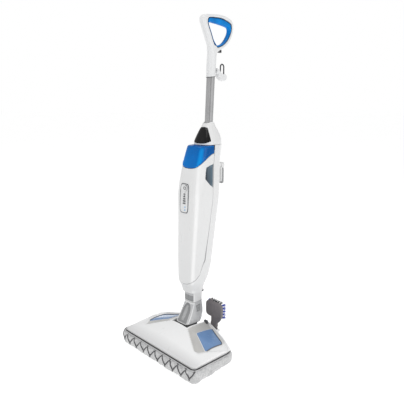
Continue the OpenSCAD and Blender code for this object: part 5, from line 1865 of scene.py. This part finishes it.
# ------------------------------------------------------------------ scrubber
def scrubber():
    x0, x1 = 34.0, 110.0
    cx, y0 = (x0 + x1) / 2, 79.0
    w = (x1 - x0) / 2
    plate = prism("paddle_plate", superloop(w, 30, 5, 96, cx, 134), lambda a, b, c: (a, y0 + c, b), 11, PADDLE, rim=2.6, segs=4)
    # raised rim and ribs on the front
    rim_pts = [(cx + (w - 6) * ss(3.75 * i, 5), y0 + 0.2, 134 + 24 * sc(3.75 * i, 5)) for i in range(96)]
    r1 = tube_path("paddle_bead", rim_pts, 1.1, PADDLE, k=8, closed=True)
    ribs = [prism(f"paddle_rib_{q}", superloop(1.1, 20, 4, 24, cx - 18 + 12 * q, 134), lambda a, b, c: (a, y0 - 0.6 + c, b), 1.6, PADDLE, rim=0.5) for q in range(4)]
    A = catmull([(cx - 15, 70), (cx - 13, 88), (cx - 13.5, 104), (cx - 18, 118), (cx, 122), (x1 - 6, 118), (x1 - 5, 108), (x1 - 12, 94), (cx + 15.5, 82), (cx + 15, 70), (cx, 68)], 5)
    arm = prism("paddle_arm", A, lambda a, b, c: (a, y0 + 1.5 + c, b), 8.5, PADDLE, rim=1.8, segs=3)
    yh = 83.47
    kn = tube_path("paddle_knuckle", [(cx - 15, yh, 58), (cx - 14.4, yh, 58), (cx, yh, 58), (cx + 14.4, yh, 58), (cx + 15, yh, 58)], 5.5, PADDLE, k=40)
    cut_hole(kn, (cx - 40, yh, 58), (cx + 40, yh, 58), 2.56, k=32)
    web = prism("paddle_web", superloop(14.5, 5.5, 5, 48, cx, 68), lambda a, b, c: (a, y0 + 0.8 + c, b), 8.4, PADDLE, rim=1.2)
    tab = prism("paddle_tab", superloop(8, 4.5, 4, 40, x0 + 22, 166), lambda a, b, c: (a, y0 + 2 + c, b), 8, PADDLE, rim=1.6, segs=3)
    ob = join([plate, r1, arm, kn, web, tab] + ribs, "scrub_paddle")
    place(ob, "scrubber", "scrubber_paddle")
    # tufts: bundles of fine filaments that fan out, leaning outwards round the rim
    groups = {"blue": ([], []), "dark": ([], [])}
    spots = []
    for k in range(5):
        spots += [(x0 + 5, 110 + 12 * k, "blue", -1, 0), (x1 - 5, 110 + 12 * k, "blue", 1, 0)]
    for i in range(5):
        spots += [(x0 + 16 + 11 * i, 108.5, "blue", 0, -1), (x0 + 16 + 11 * i, 159.5, "dark", 0, 1)]
    for i in range(6):
        for k in range(4):
            spots.append((x0 + 15 + 9.2 * i, 119.5 + 9.7 * k, "dark", 0, 0))
    for bx, bz, key, sx, sz in spots:
        if True:
            side = bool(sx or sz)
            lean_x, lean_z = 0.42 * sx, 0.4 * sz
            V, F = groups[key]
            L = 13.0 if side else 11.0
            for f in range(40):
                ang, rad = rnd.uniform(0, 2 * math.pi), 2.9 * math.sqrt(rnd.random())
                dx, dz = rad * math.cos(ang), rad * math.sin(ang)
                base = Vector((bx + dx, 89.6, bz + dz))
                fan = 0.16
                lift = Vector((lean_x + fan * dx / 1.9 + rnd.gauss(0, 0.03), 1.0, lean_z + fan * dz / 1.9 + rnd.gauss(0, 0.03)))
                ln = L * rnd.uniform(0.93, 1.0)
                tip = base + lift.normalized() * ln
                r = 0.42
                n0 = len(V)
                for q, P in enumerate((base, base.lerp(tip, 0.5) + Vector((0, 0, 0.2 * rnd.uniform(-1, 1))), tip)):
                    rr = r * (1 if q < 2 else 0.6)
                    for m in range(4):
                        a = math.pi / 2 * m
                        V.append(P + Vector((rr * math.cos(a), 0, rr * math.sin(a))))
                for q in range(2):
                    for m in range(4):
                        a_, b_ = n0 + q * 4 + m, n0 + q * 4 + (m + 1) % 4
                        F.append((a_, b_, b_ + 4, a_ + 4))
                F.append(tuple(n0 + 8 + m for m in range(4)))
                F.append(tuple(n0 + 3 - m for m in range(4)))
    for key, mat, node in (("blue", NYLON_BLUE, "bristles_blue"), ("dark", NYLON_DARK, "bristles_dark")):
        V, F = groups[key]
        o = obj_from(f"tufts_{key}", V, F, mat, clean=False)
        outward(o, (cx / 1000, 0.05, 0.134)) if False else None
        bm = bmesh.new()
        bm.from_mesh(o.data)
        bmesh.ops.recalc_face_normals(bm, faces=bm.faces)
        bm.to_mesh(o.data)
        bm.free()
        place(o, "scrubber", node)
    lugs = []
    for x in (x0 + 14, x1 - 20):
        L = catmull([(78.5, 52.8), (83.5, 52.9), (88.4, 56), (88.4, 60.5), (83.5, 63.1), (78, 63.1), (71.8, 63.0), (71.6, 58), (71.8, 53)], 4)
        lugs.append(prism(f"lug_{x}", L, lambda a, b, c, x=x: (x + c, a, b), 6, WHITE, rim=0.7))
    o = join(lugs, "hinge_lugs")
    cut_hole(o, (x0, yh, 58), (x1, yh, 58), 2.5, k=32)
    place(o, "foot", "scrubber_lugs")
    c = prism("catch_tab", superloop(8, 4, 5, 40, 46, 68), lambda a, b, c_: (a, b, 75 + c_), 11.4, DARK, rim=1.2, segs=3)
    place(c, "foot", "scrubber_catch")


# ------------------------------------------------------------------ stage
def stage():
    fl = obj_from("floor", *sweep())
    w = bpy.data.worlds.new("studio")
    scene.world = w
    w.use_nodes = True
    nt = w.node_tree
    bg = nt.nodes["Background"]
    bg.inputs[0].default_value = (1, 1, 1, 1)
    bg.inputs[1].default_value = 0.57
    lp = nt.nodes.new("ShaderNodeLightPath")
    seen = nt.nodes.new("ShaderNodeBackground")
    seen.inputs[0].default_value = (1, 1, 1, 1)
    seen.inputs[1].default_value = 1.0
    mx = nt.nodes.new("ShaderNodeMixShader")
    nt.links.new(lp.outputs["Is Camera Ray"], mx.inputs[0])
    nt.links.new(bg.outputs[0], mx.inputs[1])
    nt.links.new(seen.outputs[0], mx.inputs[2])
    nt.links.new(mx.outputs[0], nt.nodes["World Output"].inputs[0])

    def area(name, loc, target, size, power, col=(1, 1, 1)):
        l = bpy.data.lights.new(name, "AREA")
        l.shape = "RECTANGLE"
        l.size, l.size_y = size
        l.energy = power
        l.color = col
        o = bpy.data.objects.new(name, l)
        scene.collection.objects.link(o)
        o.location = loc
        o.rotation_mode = "QUATERNION"
        o.rotation_quaternion = (Vector(target) - Vector(loc)).to_track_quat("-Z", "Y")

    area("key", (2.7, 0.3, 1.4), (0, 0, 0.45), (1.2, 2.2), 17)
    area("fill", (-1.3, -2.6, 1.6), (0, 0, 0.5), (2.0, 2.0), 3)
    area("top", (-0.1, -0.9, 3.1), (0, 0, 0.1), (1.8, 1.8), 28)
    scene.view_settings.view_transform = "Standard"
    scene.view_settings.look = "None"


def sweep():
    """A wide pale disc that stays nearly as bright as the backdrop to its far edge."""
    mat = bpy.data.materials.new("pale_floor")
    nt, bs = links(mat)
    c = ramp(nt, noise_tex(nt, 1.5, 2).outputs[0], [(0.3, (0.86, 0.86, 0.86)), (0.7, (0.88, 0.88, 0.88))])
    nt.links.new(c, bs.inputs["Base Color"])
    bs.inputs["Roughness"].default_value = 0.9
    bs.inputs["IOR"].default_value = 1.2
    bs.inputs["Emission Color"].default_value = (1, 1, 1, 1)
    bs.inputs["Emission Strength"].default_value = 0.5
    V, F = [(0, 0, 0)], []
    n = 72
    radii = [0.5, 1, 2, 4, 8, 16, 32, 60]
    for r in radii:
        for j in range(n):
            V.append((r * math.cos(2 * math.pi * j / n), r * math.sin(2 * math.pi * j / n), 0))
    for j in range(n):
        F.append((0, 1 + j, 1 + (j + 1) % n))
    for i in range(len(radii) - 1):
        for j in range(n):
            a, b = 1 + i * n + j, 1 + i * n + (j + 1) % n
            F.append((a, a + n, b + n, b))
    return [(v[0] * 1000, v[1] * 1000, v[2] * 1000) for v in V], F, mat


# ------------------------------------------------------------------ build
def finish_nodes():
    """Every CAD node left in view gets the material of its slot."""
    for name, ob in NODES.items():
        mat = BY_SLOT[SLOT_OF[name]]
        if name in ("tank_valve", "chassis", "foot_base"):
            mat = GREY
        if name == "handle_screws":
            mat = WHITE_HANDLE
        for s in ob.material_slots:
            s.material = mat


finish_nodes()
front_cover()
rear_housing()
top_housing()
name_plate()
tank()
tank_cap()
controls()
grip_liners()
tube()
handle()
foot_cover()
windows()
edge_line()
pad()
bell()
well()
neck()
hooks()
scrubber()
stage()
